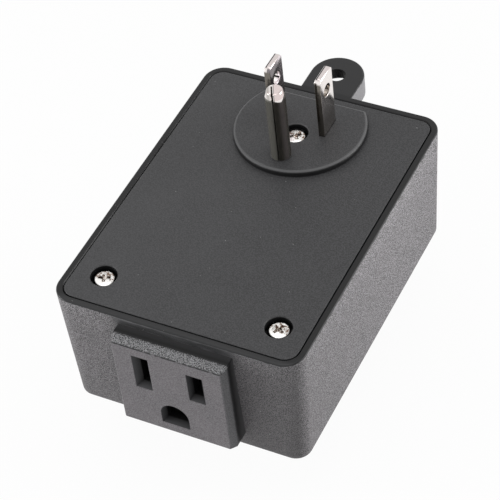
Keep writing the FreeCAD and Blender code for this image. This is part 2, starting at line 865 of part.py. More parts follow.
def hexagon(x, y, across, z_low, z_high):
    corner = across / math.sqrt(3)
    points = [Vector(x + corner * math.cos(math.pi * k / 3), y + corner * math.sin(math.pi * k / 3),
                     z_low) for k in range(6)]
    return extruded(points, Vector(0, 0, z_high - z_low))


def potentiometer_nut():
    high = dial_z - washer_thickness
    low = high - nut_height
    return hexagon(0, knob_y, nut_across, low, high).cut(rod(bushing_radius, 0, knob_y, low, high))


def terminal(step):
    y = switch_y + step * terminal_pitch
    return box(switch_x - terminal_width / 2, switch_x + terminal_width / 2,
               y - terminal_thickness / 2, y + terminal_thickness / 2,
               switch_back_z - terminal_bed, terminal_end_z)


def switch_terminals():
    return [terminal(step) for step in (-1, 0, 1)]


def switch_body():
    outline = rounded_rectangle(switch_x - bezel_width / 2, switch_x + bezel_width / 2,
                                switch_y - bezel_length / 2, switch_y + bezel_length / 2,
                                bezel_corner, bezel_face_z)
    bezel = Part.Face(outline).extrude(Vector(0, 0, bezel_height))
    bezel = bezel.makeFillet(bezel_rounding, level_edges(bezel, bezel_face_z))
    wing = box(switch_x - switch_width / 2 - switch_wing, switch_x + switch_width / 2 + switch_wing,
               switch_y - switch_wing_length / 2, switch_y + switch_wing_length / 2,
               inner_front_z + switch_slack, inner_front_z + switch_slack + switch_wing_height)
    body = fuse_all([bezel, switch_block(0, dial_z, switch_back_z), wing])
    hollow = box(switch_x - switch_hollow_width / 2, switch_x + switch_hollow_width / 2,
                 switch_y - switch_hollow_length / 2, switch_y + switch_hollow_length / 2,
                 bezel_face_z, bezel_face_z + switch_hollow_depth)
    hole_reach = rocker_width / 2 + pivot_reach + shaft_slack
    pivot_hole = rod_x(pivot_radius + shaft_slack, switch_x - hole_reach, switch_x + hole_reach,
                       switch_y, pivot_z)
    return cut_all(body, [hollow, pivot_hole] + switch_terminals())


def switch_rocker():
    """Rocker with a dished face, its two pivot stubs and the nib that pushes the contacts."""
    top_z = pivot_z - rocker_height
    start = Vector(0, switch_y - rocker_top_half_length, top_z)
    middle = Vector(0, switch_y, top_z + rocker_dip)
    end = Vector(0, switch_y + rocker_top_half_length, top_z)
    corners = [end, Vector(0, switch_y + rocker_half_length, pivot_z),
               Vector(0, switch_y + rocker_half_length - rocker_under, pivot_z + rocker_under),
               Vector(0, switch_y - rocker_half_length + rocker_under, pivot_z + rocker_under),
               Vector(0, switch_y - rocker_half_length, pivot_z), start]
    edges = [Part.Arc(start, middle, end).toShape()]
    edges += [Part.LineSegment(a, b).toShape() for a, b in zip(corners, corners[1:])]
    body = Part.Face(Part.Wire(edges)).extrude(Vector(rocker_width, 0, 0))
    ridges = [edge for edge in level_edges(body, top_z) if edge.BoundBox.XLength > rocker_rounding]
    body = body.makeFillet(rocker_rounding, ridges)
    body.translate(Vector(switch_x - rocker_width / 2, 0, 0))
    reach = rocker_width / 2 + pivot_reach
    pins = rod_x(pivot_radius, switch_x - reach, switch_x + reach, switch_y, pivot_z)
    nib = rod(nib_radius, switch_x, switch_y, pivot_z, pivot_z + rocker_under + nib_length)
    return fuse_all([body, pins, nib])


def circuit_board():
    board = box(-board_half_width, board_half_width, board_low_y, board_high_y, pot_back_z,
                board_top_z)
    holes = [rod(board_screw_radius, x, y, pot_back_z, board_top_z)
             for x, y in board_axes]
    holes.append(rod(triac_screw_radius, triac_x, triac_screw_y, pot_back_z, board_top_z))
    half_pin = pot_pin_width / 2
    lug_y = knob_y - pot_lug_reach
    for step in (-1, 0, 1):
        x = step * pot_pin_pitch
        holes.append(box(x - half_pin, x + half_pin, lug_y - half_pin, lug_y + half_pin,
                         pot_back_z, board_top_z))
    return cut_all(board, holes)


def board_screws():
    tip = board_top_z - board_screw_length
    return [plain_screw(x, y, board_top_z, board_screw_head_radius, board_screw_head_height,
                        board_screw_radius, tip) for x, y in board_axes]


def heat_sink():
    high_y = sink_low_y + sink_length
    base = box(sink_low_x, sink_high_x, sink_low_y, high_y, board_top_z, board_top_z + sink_sheet)
    fins = [box(low, low + sink_sheet, sink_low_y, high_y, board_top_z, board_top_z + sink_height)
            for low in (sink_low_x, sink_high_x - sink_sheet)]
    hole = rod(triac_screw_radius, triac_x, triac_screw_y, board_top_z,
               board_top_z + sink_sheet)
    return fuse_all([base] + fins).cut(hole)


def triac():
    floor = board_top_z + sink_sheet
    low_x = triac_x - triac_width / 2
    high_x = triac_x + triac_width / 2
    tab_high_y = triac_low_y + triac_tab_length
    tab = box(low_x, high_x, triac_low_y, tab_high_y, floor, floor + triac_tab_thickness)
    body = box(low_x, high_x, tab_high_y - triac_body_length, tab_high_y, floor,
               floor + triac_body_thickness)
    pieces = [tab, body]
    leg_z = floor + triac_body_thickness / 2
    for step in (-1, 0, 1):
        x = triac_x + step * leg_pitch
        leg_low = x - leg_width / 2
        leg_high = x + leg_width / 2
        bend_y = tab_high_y + leg_reach
        pieces.append(box(leg_low, leg_high, tab_high_y, bend_y, leg_z, leg_z + leg_thickness))
        pieces.append(box(leg_low, leg_high, bend_y - leg_thickness, bend_y, board_top_z,
                          leg_z + leg_thickness))
    hole = rod(triac_screw_radius, triac_x, triac_screw_y, floor, floor + triac_tab_thickness)
    return fuse_all(pieces).cut(hole)


def triac_fasteners():
    seat = board_top_z + sink_sheet + triac_tab_thickness
    nut_low = pot_back_z - triac_nut_height
    screw = plain_screw(triac_x, triac_screw_y, seat, triac_screw_head_radius,
                        triac_screw_head_height, triac_screw_radius, nut_low)
    nut = hexagon(triac_x, triac_screw_y, 2 * triac_nut_radius * math.cos(math.pi / 6),
                  nut_low, pot_back_z)
    hole = rod(triac_screw_radius, triac_x, triac_screw_y, nut_low, pot_back_z)
    return [screw, nut.cut(hole)]


def choke_core():
    top = board_top_z + choke_height
    return fuse_all([
        rod(choke_flange_radius, choke_x, choke_y, board_top_z, board_top_z + choke_flange),
        rod(choke_core_radius, choke_x, choke_y, board_top_z, top),
        rod(choke_flange_radius, choke_x, choke_y, top - choke_flange, top),
    ])


def choke_winding():
    low = board_top_z + choke_flange
    high = board_top_z + choke_height - choke_flange
    return rod(choke_winding_radius, choke_x, choke_y, low, high).cut(
        rod(choke_core_radius, choke_x, choke_y, low, high))


def filter_capacitor():
    low_y = board_low_y + filter_from_edge
    return box(head_clear_x - filter_width, head_clear_x, low_y, low_y + filter_length,
               board_top_z, board_top_z + filter_height)


def timing_capacitor():
    low_y = board_low_y + timing_from_edge
    return box(row_low_x, row_low_x + timing_width, low_y, low_y + timing_length,
               board_top_z, board_top_z + timing_height)


def tube(name, radius, points):
    """Wire along straight runs joined by tangent arcs."""
    corners = [Vector(*point) for point in points]
    edges = []
    start = corners[0]
    radii = []
    for before, corner, after in zip(corners, corners[1:], corners[2:]):
        back = (before - corner).normalize()
        ahead = (after - corner).normalize()
        half_turn = (math.pi - back.getAngle(ahead)) / 2
        shorter = min((before - corner).Length, (after - corner).Length)
        setback = lead_bend_share * shorter
        radii.append(setback / math.tan(half_turn))
        first = corner + back * setback
        last = corner + ahead * setback
        bisector = (back + ahead).normalize()
        centre = corner + bisector * (radii[-1] / math.cos(half_turn))
        edges.append(Part.LineSegment(start, first).toShape())
        edges.append(Part.Arc(first, centre - bisector * radii[-1], last).toShape())
        start = last
    edges.append(Part.LineSegment(start, corners[-1]).toShape())
    path = Part.Wire(edges)
    section = Part.Wire([Part.makeCircle(radius, corners[0], corners[1] - corners[0])])
    solid = path.makePipeShell([section], True, False)
    share = solid.Volume / (math.pi * radius ** 2 * path.Length)
    print(name, "least bend", round(min(radii), 2), "volume share", round(share, 4))
    return solid


def axial_part(name, from_edge, radius, length):
    """Part lying across the board on two bent leads."""
    y = board_low_y + from_edge
    z = board_top_z + axial_lift + radius
    body = rod_x(radius, row_x - length / 2, row_x + length / 2, y, z)
    legs = []
    for side in (-1, 1):
        end_x = row_x + side * length / 2
        foot_x = end_x + side * axial_lead_reach
        legs.append(tube(name, axial_lead_radius, [
            (foot_x, y, board_top_z), (foot_x, y, z), (end_x, y, z)]))
    return fuse_all([body] + legs)


def resistors():
    return [axial_part("resistor", resistor_from_edge + step * resistor_pitch, resistor_radius,
                       resistor_length) for step in range(3)]


def leads():
    """Routes of the six inner leads, from one soldered end to the other."""
    blade_z = -blade_lead_drop
    near_tab_y = switch_y - terminal_pitch
    far_tab_y = switch_y + terminal_pitch
    blade_face = blade_x + blade_thickness / 2
    contact_side = contact_tail_thickness / 2
    contact_low_z = slot_z - contact_tail_width / 2
    ground_tail_top = ground_z + contact_tail_thickness / 2
    pin_tail_y = -pin_offset - pin_tail_thickness / 2
    left_pad_x = lead_pad_inset - board_hole_x
    right_pad_x = choke_x - choke_flange_radius - lead_radius - row_gap
    return {
        "line_lead": [
            (-blade_face, 0, blade_z), (-11.0, 0, blade_z),
            (switch_x, switch_y, blade_z), (switch_x, switch_y, terminal_end_z)],
        "high_lead": [
            (switch_x, far_tab_y, terminal_end_z), (switch_x, far_tab_y, upper_lead_z),
            (-11.5, 8.0, upper_lead_z), (16.0, 8.0, -11.0), (22.5, 0.5, upper_lead_z),
            (22.4, -37.0, -11.0), (18.0, tail_joint_y, slot_z),
            (hot_slot_x + contact_side, tail_joint_y, slot_z)],
        "board_lead": [
            (switch_x, near_tab_y, terminal_end_z), (switch_x, near_tab_y, upper_lead_z),
            (left_pad_x, -20.6, -11.2), (left_pad_x, -20.6, board_top_z)],
        "output_lead": [
            (right_pad_x, -37.5, board_top_z), (right_pad_x, -37.5, -16.0),
            (hot_slot_x, tail_joint_y, -16.0), (hot_slot_x, tail_joint_y, contact_low_z)],
        "neutral_lead": [
            (neutral_slot_x, tail_end_y, slot_z), (neutral_slot_x, -39.6, slot_z),
            (neutral_slot_x, -34.6, -7.6), (4.5, -24.0, -7.6), (blade_x, -18.0, blade_z),
            (blade_x, -tail_width / 2, blade_z)],
        "ground_lead": [
            (outlet_x, tail_joint_y, ground_tail_top), (outlet_x, tail_joint_y, blade_z),
            (0, -27.0, blade_z), (0, pin_tail_y, blade_z)],
    }


def main():
    os.makedirs("parts", exist_ok=True)
    save("case_shell", [case_shell()])
    save("back_cover", [back_cover()])
    save("cover_screws", cover_screws())
    save("neutral_blade", [blade(blade_x)])
    save("hot_blade", [blade(-blade_x)])
    save("ground_pin", [ground_pin()])
    save("plug_retainer", [plug_retainer()])
    save("retainer_screws", retainer_screws())
    save("outlet_housing", [outlet_housing()])
    save("outlet_cap", [outlet_cap()])
    save("neutral_contact", [neutral_contact()])
    save("hot_contact", [hot_contact()])
    save("ground_contact", [ground_contact()])
    save("dial_plate", [dial_plate()])
    save("speed_knob", [speed_knob()])
    save("knob_pointer", [pointer()])
    save("knob_set_screw", [knob_set_screw()])
    save("potentiometer_body", [potentiometer_body()])
    save("potentiometer_bushing", [potentiometer_bushing()])
    save("potentiometer_shaft", [potentiometer_shaft()])
    save("potentiometer_washer", [potentiometer_washer()])
    save("potentiometer_nut", [potentiometer_nut()])
    save("switch_body", [switch_body()])
    save("switch_rocker", [switch_rocker()])
    save("switch_terminals", switch_terminals())
    save("circuit_board", [circuit_board()])
    save("board_screws", board_screws())
    save("heat_sink", [heat_sink()])
    save("triac", [triac()])
    save("triac_screw_and_nut", triac_fasteners())
    save("choke_core", [choke_core()])
    save("choke_winding", [choke_winding()])
    save("filter_capacitor", [filter_capacitor()])
    save("timing_capacitor", [timing_capacitor()])
    save("resistors", resistors())
    save("diac", [axial_part("diac", diac_from_edge, diac_radius, diac_length)])
    save("fuse", [axial_part("fuse", fuse_from_edge, fuse_radius, fuse_length)])
    for name, points in leads().items():
        save(name, [tube(name, lead_radius, points)])


main()
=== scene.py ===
import math

import bmesh
import bpy
from mathutils import Matrix, Quaternion, Vector


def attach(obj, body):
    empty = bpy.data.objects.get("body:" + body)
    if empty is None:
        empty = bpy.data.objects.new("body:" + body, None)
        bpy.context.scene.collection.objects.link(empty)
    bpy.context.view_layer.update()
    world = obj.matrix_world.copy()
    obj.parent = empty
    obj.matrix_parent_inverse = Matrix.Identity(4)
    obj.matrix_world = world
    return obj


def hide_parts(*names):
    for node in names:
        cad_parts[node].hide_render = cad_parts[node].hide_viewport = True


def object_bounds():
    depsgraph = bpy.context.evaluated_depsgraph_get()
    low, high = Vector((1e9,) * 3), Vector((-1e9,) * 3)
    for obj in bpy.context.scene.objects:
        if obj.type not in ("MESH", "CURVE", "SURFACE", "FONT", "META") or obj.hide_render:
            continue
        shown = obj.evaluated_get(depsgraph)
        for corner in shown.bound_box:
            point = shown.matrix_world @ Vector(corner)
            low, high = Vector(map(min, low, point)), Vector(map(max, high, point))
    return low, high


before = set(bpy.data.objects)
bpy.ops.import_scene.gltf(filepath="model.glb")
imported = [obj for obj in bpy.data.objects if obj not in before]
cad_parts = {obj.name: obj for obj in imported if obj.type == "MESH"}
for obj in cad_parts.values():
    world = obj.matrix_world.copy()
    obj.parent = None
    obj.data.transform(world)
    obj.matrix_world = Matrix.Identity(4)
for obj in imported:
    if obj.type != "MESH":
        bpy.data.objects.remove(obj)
cad_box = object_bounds()

# Sizes of the pieces are in millimetres and become metres where a mesh is made.
MM = 0.001

# Camera, in metres and degrees, as solved from the plug and the outlet in the photograph
camera_place = (0.17352, -0.31950, 0.33098)
camera_azimuth = 31.06
camera_elevation = 45.65
camera_roll = -7.5
camera_lens = 150.5
camera_sensor = 36.0

# Studio, in metres and watts. A span is a height of the direction, from -1 down to 1 up.
floor_size = 4.0
floor_grey = 0.75
floor_glow = 0.95
upper_span = (0.2, 0.65)
horizon_light = 0.42
upper_light = 0.7
under_span = (-0.3, -0.05)
under_light = 0.95
lamp_target = (0, -0.03, -0.02)
lamps = {
    "lamp_above": {"place": (0.0, -0.05, 0.9), "size": 0.7, "watts": 1.9},
    "lamp_left": {"place": (-0.27, -0.2, 0.06), "size": 0.15, "watts": 0.4},
    "lamp_right": {"place": (0.7, 0.3, 0.12), "size": 0.5, "watts": 4.6},
}

# Turn of the noise lattice, in radians
noise_turn = (0.61, 0.43, 0.29)

# Edges between two faces turned by more than this many degrees stay sharp.
sharp_angle = 35.0

# Case, and the stretches over which the look of its walls changes
rim_z = -1.7
smooth_band = 0.35
ear_start_y = 13.4
ear_y = 19.4
ear_hole_radius = 2.15
end_wall_y = -68.0
coarse_z = (-28.0, -6.0)
near_rim_z = (-10.0, -3.0)
lit_foot_z = (-35.0, -33.5)
fading_y = (-68.0, -20.0)
shaded_far_end_x = (-44.0, 26.0)
cove_x = (-14.0, 15.5)
cove_low_z = -5.2
worn_glint_low_z = rim_z - 0.6
crest_highlight_z = (rim_z - 0.75, rim_z - 0.4)

# Back plate
plate_shade_x = (-30.0, 30.0)
boss_side_shade_z = (rim_z + 0.12, -0.4)
edge_highlight_z = (-0.3, -0.02)
well_shade_z = (rim_z - 0.3, rim_z - 0.1)

# Outlet block
outlet_x = 0.9
outlet_z = -17.4
face_y = -74.2
grain_end_y = -71.9
neck_middle_y = -70.9
neck_root_y = -69.4
face_half_width = 13.25
face_half_height = 12.525
face_margin = 0.6
recess_shade = (0.4, 1.7)

# Plug prongs. The painted shade bar in the left blade's hole lies below the hole's middle.
prong_split_y = -7.0
root_shade_z = 0.05
blade_x = 6.35
blade_width = 6.35
blade_thickness = 1.52
blade_length = 17.0
blade_edge = 0.12
blade_corner = 0.8
blade_bevel = 0.35
blade_hole_radius = 1.6
blade_hole_height = 11.9
blade_hole_lip = 0.14
blade_lean = 0.035
blade_shade_z = (4.0, 10.0)
blade_side_end_z = (15.6, 16.1)
blade_lit_y = (0.2, 1.8)
blade_lit_z = 11.5
bevel_shade_width = 0.18
hole_shade_bar_rise = (-1.08, -0.7)
shoulder_width = 9.0
shoulder_high_z = -4.1
shoulder_height = 2.0
tail_width = 4.0
tail_z = -13.0
hidden_edge = 0.15
cut_margin = 0.5
pin_y = -11.89
pin_radius = 2.4
pin_root_radius = 2.6
pin_root_z = -0.03
pin_length = 20.0
pin_taper = 1.9
pin_taper_blend = 0.3
pin_tip_radius = 1.8
pin_tip_rounding = 0.5
pin_seam_shift = -0.6
pin_seam_turn = 27.6
pin_half_seam = 0.08
pin_tip_half_seam = 0.2
pin_seam_floor = 0.9
pin_lip = 0.3
pin_collar_radius = 3.2
pin_tail_width = 3.0
pin_tail_thickness = 1.0

# Finish of the ground pin: places across it from its axis or seam, heights and radii
shank_rise_across = (-0.5, 1.3)
shank_rise = (-0.3, 0.35)
shank_drop_across = (1.4, 2.3)
shank_drop = 1.4
far_side_across = (0.7, 1.9)
fold_across = (-1.9, -1.1)
cheek_from_seam = (0.34, 0.5)
lobe_rise = 0.35
crown_radii = (1.54, 1.78)
crown_behind = -0.4

# Cover screws: seats as (x, y, z)
screw_seats = ((-21.5, -59.5, -4.2), (21.5, -59.5, -4.2), (0.0, -4.1, -2.8))
screw_turns = (20.0, 63.0, 38.0)
screw_head_radius = 2.6
screw_head_height = 1.9
screw_head_edge = 0.75
screw_head_crown = 0.12
screw_lit_radius = 2.25
screw_lit_shift = (0.24, -0.09)
screw_reach = 3.0
clean_below = 0.9
busy_span = (-0.3, 1.9)
screw_thread_radius = 1.45
screw_root_radius = 1.1
screw_length = 11.0
screw_pitch = 1.0
cross_half_width = 0.42
cross_half_length = 1.6
cross_depth = 1.15
cross_overshoot = 0.4
cross_heart_radii = (0.15, 0.95)
cross_heart_extra = 0.25

# Dial print
dial_z = -35.7
knob_y = -31.0
print_height = 0.03
scale_start = -60.0
scale_sweep = 300.0
scale_numbers = 7
tick_inner = 18.5
tick_outer = 20.6
tick_width = 0.45
minor_outer = 19.7
minor_width = 0.25
minor_ticks = 5
arc_inner = 18.4
arc_slow_outer = 18.55
arc_fast_outer = 19.3
number_radius = 23.0
number_size = 3.1

# Rocker marks
switch_x = -16.0
switch_y = -2.5
rocker_half_length = 6.8
rocker_middle_z = -38.0
rocker_rise = 0.9
mark_height = 0.12
mark_sink = 0.05
mark_distance = 4.6
ring_inner = 0.85
ring_outer = 1.3
bar_half_length = 1.4
bar_half_width = 0.28
bar_half_gap = 0.55


def tone(red, green, blue):
    """Linear colour of a screen colour given from 0 to 255."""
    linear = []
    for value in (red, green, blue):
        share = value / 255
        linear.append(share / 12.92 if share <= 0.04045 else ((share + 0.055) / 1.055) ** 2.4)
    return (*linear, 1.0)


class Nodes:
    """Adds shader nodes to a tree. An input is a value or the output of another node."""

    def __init__(self, tree):
        self.tree = tree

    def add(self, kind, inputs=None, **settings):
        node = self.tree.nodes.new("ShaderNode" + kind)
        for key, value in settings.items():
            setattr(node, key, value)
        for socket, value in (inputs or {}).items():
            self.feed(node.inputs[socket], value)
        return node

    def feed(self, socket, value):
        if isinstance(value, bpy.types.NodeSocket):
            self.tree.links.new(value, socket)
        else:
            socket.default_value = value

    def math(self, operation, first, second):
        return self.add("Math", {0: first, 1: second}, operation=operation).outputs[0]

    def span(self, value, from_low, from_high, to_low, to_high):
        return self.add("MapRange", {0: value, 1: from_low, 2: from_high, 3: to_low,
                                     4: to_high}).outputs[0]

    def weigh(self, share, first, second):
        """A number between two numbers."""
        return self.add("Mix", {0: share, 2: first, 3: second}).outputs[0]

    def blend(self, share, first, second):
        """A colour between two colours."""
        return self.add("Mix", {0: share, 6: first, 7: second}, data_type="RGBA").outputs[2]


class Finish(Nodes):
    """A procedural material: one principled shader whose colour, gloss and relief follow the place
    in object space."""

    def __init__(self, name, metallic=0.0, ior=1.45):
        self.material = bpy.data.materials.new(name + "_finish")
        self.material.use_nodes = True
        super().__init__(self.material.node_tree)
        self.shader = self.tree.nodes["Principled BSDF"]
        self.metallic(metallic)
        self.feed(self.shader.inputs["IOR"], ior)
        self.place = self.add("TexCoord").outputs["Object"]
        self.x, self.y, self.z = self.add("SeparateXYZ", {0: self.place}).outputs

    def colour(self, value):
        self.feed(self.shader.inputs["Base Color"], value)

    def gloss(self, value):
        self.feed(self.shader.inputs["Roughness"], value)

    def metallic(self, value):
        self.feed(self.shader.inputs["Metallic"], value)

    def relief(self, height, depth, strength=1.0):
        """Bump whose full height is depth millimetres."""
        bump = self.add("Bump", {"Height": height, "Distance": depth * MM, "Strength": strength})
        self.feed(self.shader.inputs["Normal"], bump.outputs[0])

    def times(self, first, *others):
        """Product of numbers. Of masks it is 1 only where each of them is 1."""
        for other in others:
            first = self.math("MULTIPLY", first, other)
        return first

    def ramp(self, value, low, high, to_low=0.0, to_high=1.0):
        """A number that changes while value goes from low to high, in millimetres."""
        return self.span(value, low * MM, high * MM, to_low, to_high)

    def above(self, value, level, soft=0.05):
        """1 where value is above a level in millimetres, else 0."""
        return self.ramp(value, level - soft, level + soft)

    def below(self, value, level, soft=0.05):
        """1 where value is below a level in millimetres, else 0."""
        return self.ramp(value, level - soft, level + soft, 1.0, 0.0)

    def within(self, value, low, high, soft=0.05):
        """1 where value lies between two levels in millimetres, else 0."""
        return self.times(self.above(value, low, soft), self.below(value, high, soft))

    def ray(self, first, second, first_centre, second_centre):
        """Distance, in a plane, of two coordinates from a centre given in millimetres."""
        squares = []
        for value, centre in ((first, first_centre), (second, second_centre)):
            offset = self.math("SUBTRACT", value, centre * MM)
            squares.append(self.times(offset, offset))
        return self.math("SQRT", self.math("ADD", *squares), 0.0)

    def noise(self, size, detail=2.0, rough=0.5, stretch=(1, 1, 1)):
        """Noise whose features are about size millimetres, longer where stretch is above 1.
        Its lattice is turned, because a lattice along the walls shows as bands on them."""
        scale = tuple(1 / (size * MM * s) for s in stretch)
        moved = self.add("Mapping", {"Vector": self.place, "Scale": scale,
                                     "Rotation": noise_turn}).outputs[0]
        return self.add("TexNoise", {"Vector": moved, "Scale": 1.0, "Detail": detail,
                                     "Roughness": rough}).outputs[0]

    def cloud(self, size, detail=2.0):
        """Soft patches of about size millimetres, from 0 to 1."""
        return self.span(self.noise(size, detail), 0.3, 0.7, 0.0, 1.0)

    def speckle(self, size, low=0.4, high=0.62):
        """Hard grain of about size millimetres."""
        return self.span(self.noise(size, detail=1.5, rough=0.55), low, high, 0.0, 1.0)

    def dust(self, size=0.5, rarity=0.88):
        """A few scattered pale specks."""
        return self.span(self.noise(size, detail=0.0), rarity, rarity + 0.02, 0.0, 1.0)


def wall_skin(finish, end_wall, shaded_far_end):
    """Grain of the walls, coarser near the rim and fainter towards the outlet's end, with painted shade
    darkening the end wall towards +x and painted light along the foot of the walls.
    """
    near_rim = finish.ramp(finish.z, *near_rim_z)
    coarse = finish.times(finish.ramp(finish.z, *coarse_z, 0.88, 1.0),
                          finish.weigh(shaded_far_end, 1.0, 0.45),
                          finish.weigh(end_wall, finish.ramp(finish.y, *fading_y, 0.63, 0.96), 1.0))
    grain = finish.weigh(end_wall, finish.speckle(0.25, 0.44, 0.56), finish.speckle(0.2, 0.43, 0.57))
    skin = finish.blend(finish.cloud(9), tone(62, 61, 62), tone(71, 68, 70))
    skin = finish.blend(finish.times(near_rim, 0.5), skin, tone(40, 40, 41))
    # Painted shade: the end wall darkens towards +x, and its grain fades there.
    skin = finish.blend(finish.times(shaded_far_end, 0.5), skin, tone(46, 45, 46))
    light = finish.blend(near_rim, tone(158, 155, 158), tone(174, 171, 174))
    skin = finish.blend(finish.times(grain, coarse), skin, light)
    # Painted light along the foot of the walls, lighter towards their lower edge.
    skin = finish.blend(finish.ramp(finish.z, *lit_foot_z, 0.5, 0.0), skin, tone(112, 110, 112))
    return grain, skin


def rim_skin(finish, skin, end_wall, smooth):
    """The walls' skin with painted shade and reflection in streaks over the outlet, pale worn specks
    that also stand for glints, a painted highlight along the crest over the outlet, and the smooth dark
    rim.
    """
    z = finish.z
    # Painted shade and reflection, in streaks, on the wall over the outlet.
    over_outlet_shade = finish.times(finish.within(finish.x, *cove_x, 1.5),
                               finish.above(z, cove_low_z, 0.8), end_wall)
    painted_streaks = finish.span(finish.noise(1.6, detail=3, stretch=(3, 1, 0.6)), 0.4, 0.8, 0.0, 1.0)
    skin = finish.blend(over_outlet_shade, skin, finish.blend(painted_streaks, tone(58, 58, 59), tone(88, 88, 90)))
    # Pale specks below the rim: wear, and painted glints along the crest.
    worn_glints = finish.times(finish.within(z, worn_glint_low_z, rim_z - smooth_band, 0.08),
                        finish.speckle(0.5, 0.5, 0.64))
    skin = finish.blend(worn_glints, skin, tone(128, 128, 130))
    rim = finish.blend(end_wall, tone(17, 17, 18), tone(40, 40, 41))
    skin = finish.blend(smooth, skin, rim)
    # Painted highlight along the crest of the wall over the outlet.
    crest = finish.times(finish.within(z, *crest_highlight_z, 0.1), over_outlet_shade)
    return finish.blend(crest, skin, finish.blend(painted_streaks, tone(66, 66, 67), tone(122, 122, 124)))


def case_plastic():
    """Black moulded plastic of the case: spark-eroded walls, a smooth rim and a smooth ear."""
    finish = Finish("case_plastic", ior=1.38)
    x, y, z = finish.x, finish.y, finish.z
    end_wall = finish.below(y, end_wall_y, 0.5)
    # Painted shade at the end wall, growing towards +x.
    shaded_far_end = finish.times(finish.ramp(y, end_wall_y + 0.5, end_wall_y + 3.0, 1.0, 0.0),
                           finish.ramp(x, *shaded_far_end_x))
    ragged = finish.span(finish.noise(2.4, detail=4, rough=0.6), 0.5, 0.72, 0.0, 0.7 * MM)
    smooth = finish.above(finish.math("ADD", z, ragged), rim_z - smooth_band)
    behind = finish.above(y, ear_start_y, 0.3)
    ear = finish.times(smooth, behind)
    grain, skin = wall_skin(finish, end_wall, shaded_far_end)
    skin = rim_skin(finish, skin, end_wall, smooth)
    skin = finish.blend(ear, skin, tone(32, 32, 33))
    skin = finish.blend(finish.math("SUBTRACT", behind, ear), skin, tone(138, 137, 139))
    # Painted shade inside the ear's hole.
    shaded_bore = finish.below(finish.ray(x, y, 0.0, ear_y), ear_hole_radius + 0.07)
    skin = finish.blend(shaded_bore, skin, tone(22, 22, 23))
    finish.colour(finish.blend(finish.dust(), skin, tone(190, 190, 190)))
    finish.gloss(finish.weigh(smooth, 0.52, 0.3))
    calm = finish.math("MAXIMUM", smooth, behind)
    finish.relief(finish.times(grain, finish.weigh(calm, 1.0, 0.03)), 0.07, 0.7)
    return finish.material


def cover_plastic():
    """The back plate's finer and darker grain, with painted shade in its wells, down the side of the
    boss and towards +x, and a painted highlight along the boss's rounded edge.
    """
    finish = Finish("cover_plastic", ior=1.38)
    z = finish.z
    grain = finish.speckle(0.3)
    cloud = finish.cloud(11, detail=3)
    skin = finish.blend(cloud, tone(53, 53, 54), tone(60, 60, 61))
    skin = finish.blend(finish.ramp(finish.x, *plate_shade_x, 0.0, 0.55), skin, tone(36, 36, 37))
    skin = finish.blend(finish.times(grain, 0.5), skin, tone(80, 80, 82))
    # Painted highlight along the rounded top edge of the boss.
    skin = finish.blend(finish.within(z, *edge_highlight_z, 0.02), skin, tone(84, 84, 85))
    # Painted shade down the side of the boss.
    skin = finish.blend(finish.within(z, *boss_side_shade_z, 0.08), skin, tone(20, 20, 21))
    # Painted shade down the walls of the wells.
    skin = finish.blend(finish.ramp(z, *well_shade_z, 1.0, 0.0), skin, tone(20, 20, 21))
    finish.colour(finish.blend(finish.dust(), skin, tone(128, 128, 128)))
    finish.gloss(finish.weigh(cloud, 0.44, 0.52))
    finish.relief(grain, 0.02, 0.5)
    return finish.material


def outlet_plastic():
    """The outlet block: grey textured face, speckled top bevel, a painted highlight along the face's
    left edge, and painted shade in the recesses and along the neck.
    """
    finish = Finish("outlet_plastic", ior=1.38)
    x, y, z = finish.x, finish.y, finish.z
    left_x = outlet_x - face_half_width
    right_x = outlet_x + face_half_width
    low_z = outlet_z - face_half_height
    top_z = outlet_z + face_half_height
    grain = finish.speckle(0.27, 0.43, 0.57)
    skin = finish.blend(finish.cloud(7), tone(94, 91, 94), tone(103, 99, 102))
    skin = finish.blend(finish.times(grain, 0.32), skin, tone(160, 158, 161))
    side = finish.above(x, right_x, 0.15)
    skin = finish.blend(side, skin, finish.blend(grain, tone(70, 70, 72), tone(88, 87, 89)))
    crest = finish.above(z, top_z + 0.05)
    bitten = finish.speckle(0.2, 0.44, 0.56)
    skin = finish.blend(crest, skin, finish.blend(bitten, tone(52, 52, 53), tone(140, 140, 142)))
    # Painted shade in the recesses, darker deeper in.
    recess = finish.times(finish.within(x, left_x + face_margin, right_x - face_margin),
                          finish.within(z, low_z + face_margin, top_z - face_margin),
                          finish.above(y, face_y + 0.1))
    shade_low, shade_high = recess_shade
    deep = finish.ramp(y, face_y + shade_low, face_y + shade_high)
    skin = finish.blend(recess, skin, finish.blend(deep, tone(56, 56, 58), tone(12, 12, 13)))
    line = finish.times(finish.within(z, top_z - 0.1, top_z + 0.1, 0.03),
                        finish.speckle(0.9, 0.3, 0.5))
    skin = finish.blend(line, skin, tone(36, 36, 37))
    # Painted highlight along the face's left edge.
    left_edge_highlight = finish.within(x, left_x - 0.06, left_x + 0.1, 0.03)
    skin = finish.blend(finish.times(left_edge_highlight, 0.7), skin, tone(150, 148, 150))
    # Painted shade along the neck: darkest in its middle, lighter at the bevel and at the wall.
    ragged = finish.times(bitten, 0.4 * MM)
    neck = finish.above(finish.math("SUBTRACT", y, ragged), grain_end_y - 0.2, 0.15)
    to_middle = finish.ramp(y, grain_end_y, neck_middle_y)
    to_wall = finish.ramp(y, neck_middle_y, neck_root_y)
    shade = finish.blend(to_middle, tone(26, 26, 27), tone(8, 8, 9))
    shade = finish.blend(to_wall, shade, tone(62, 62, 63))
    finish.colour(finish.blend(neck, skin, shade))
    finish.gloss(finish.weigh(neck, 0.55, 0.4))
    finish.relief(finish.times(grain, finish.weigh(crest, 0.5, 1.0), finish.weigh(neck, 1.0, 0.1)),
                  0.05, 0.5)
    return finish.material


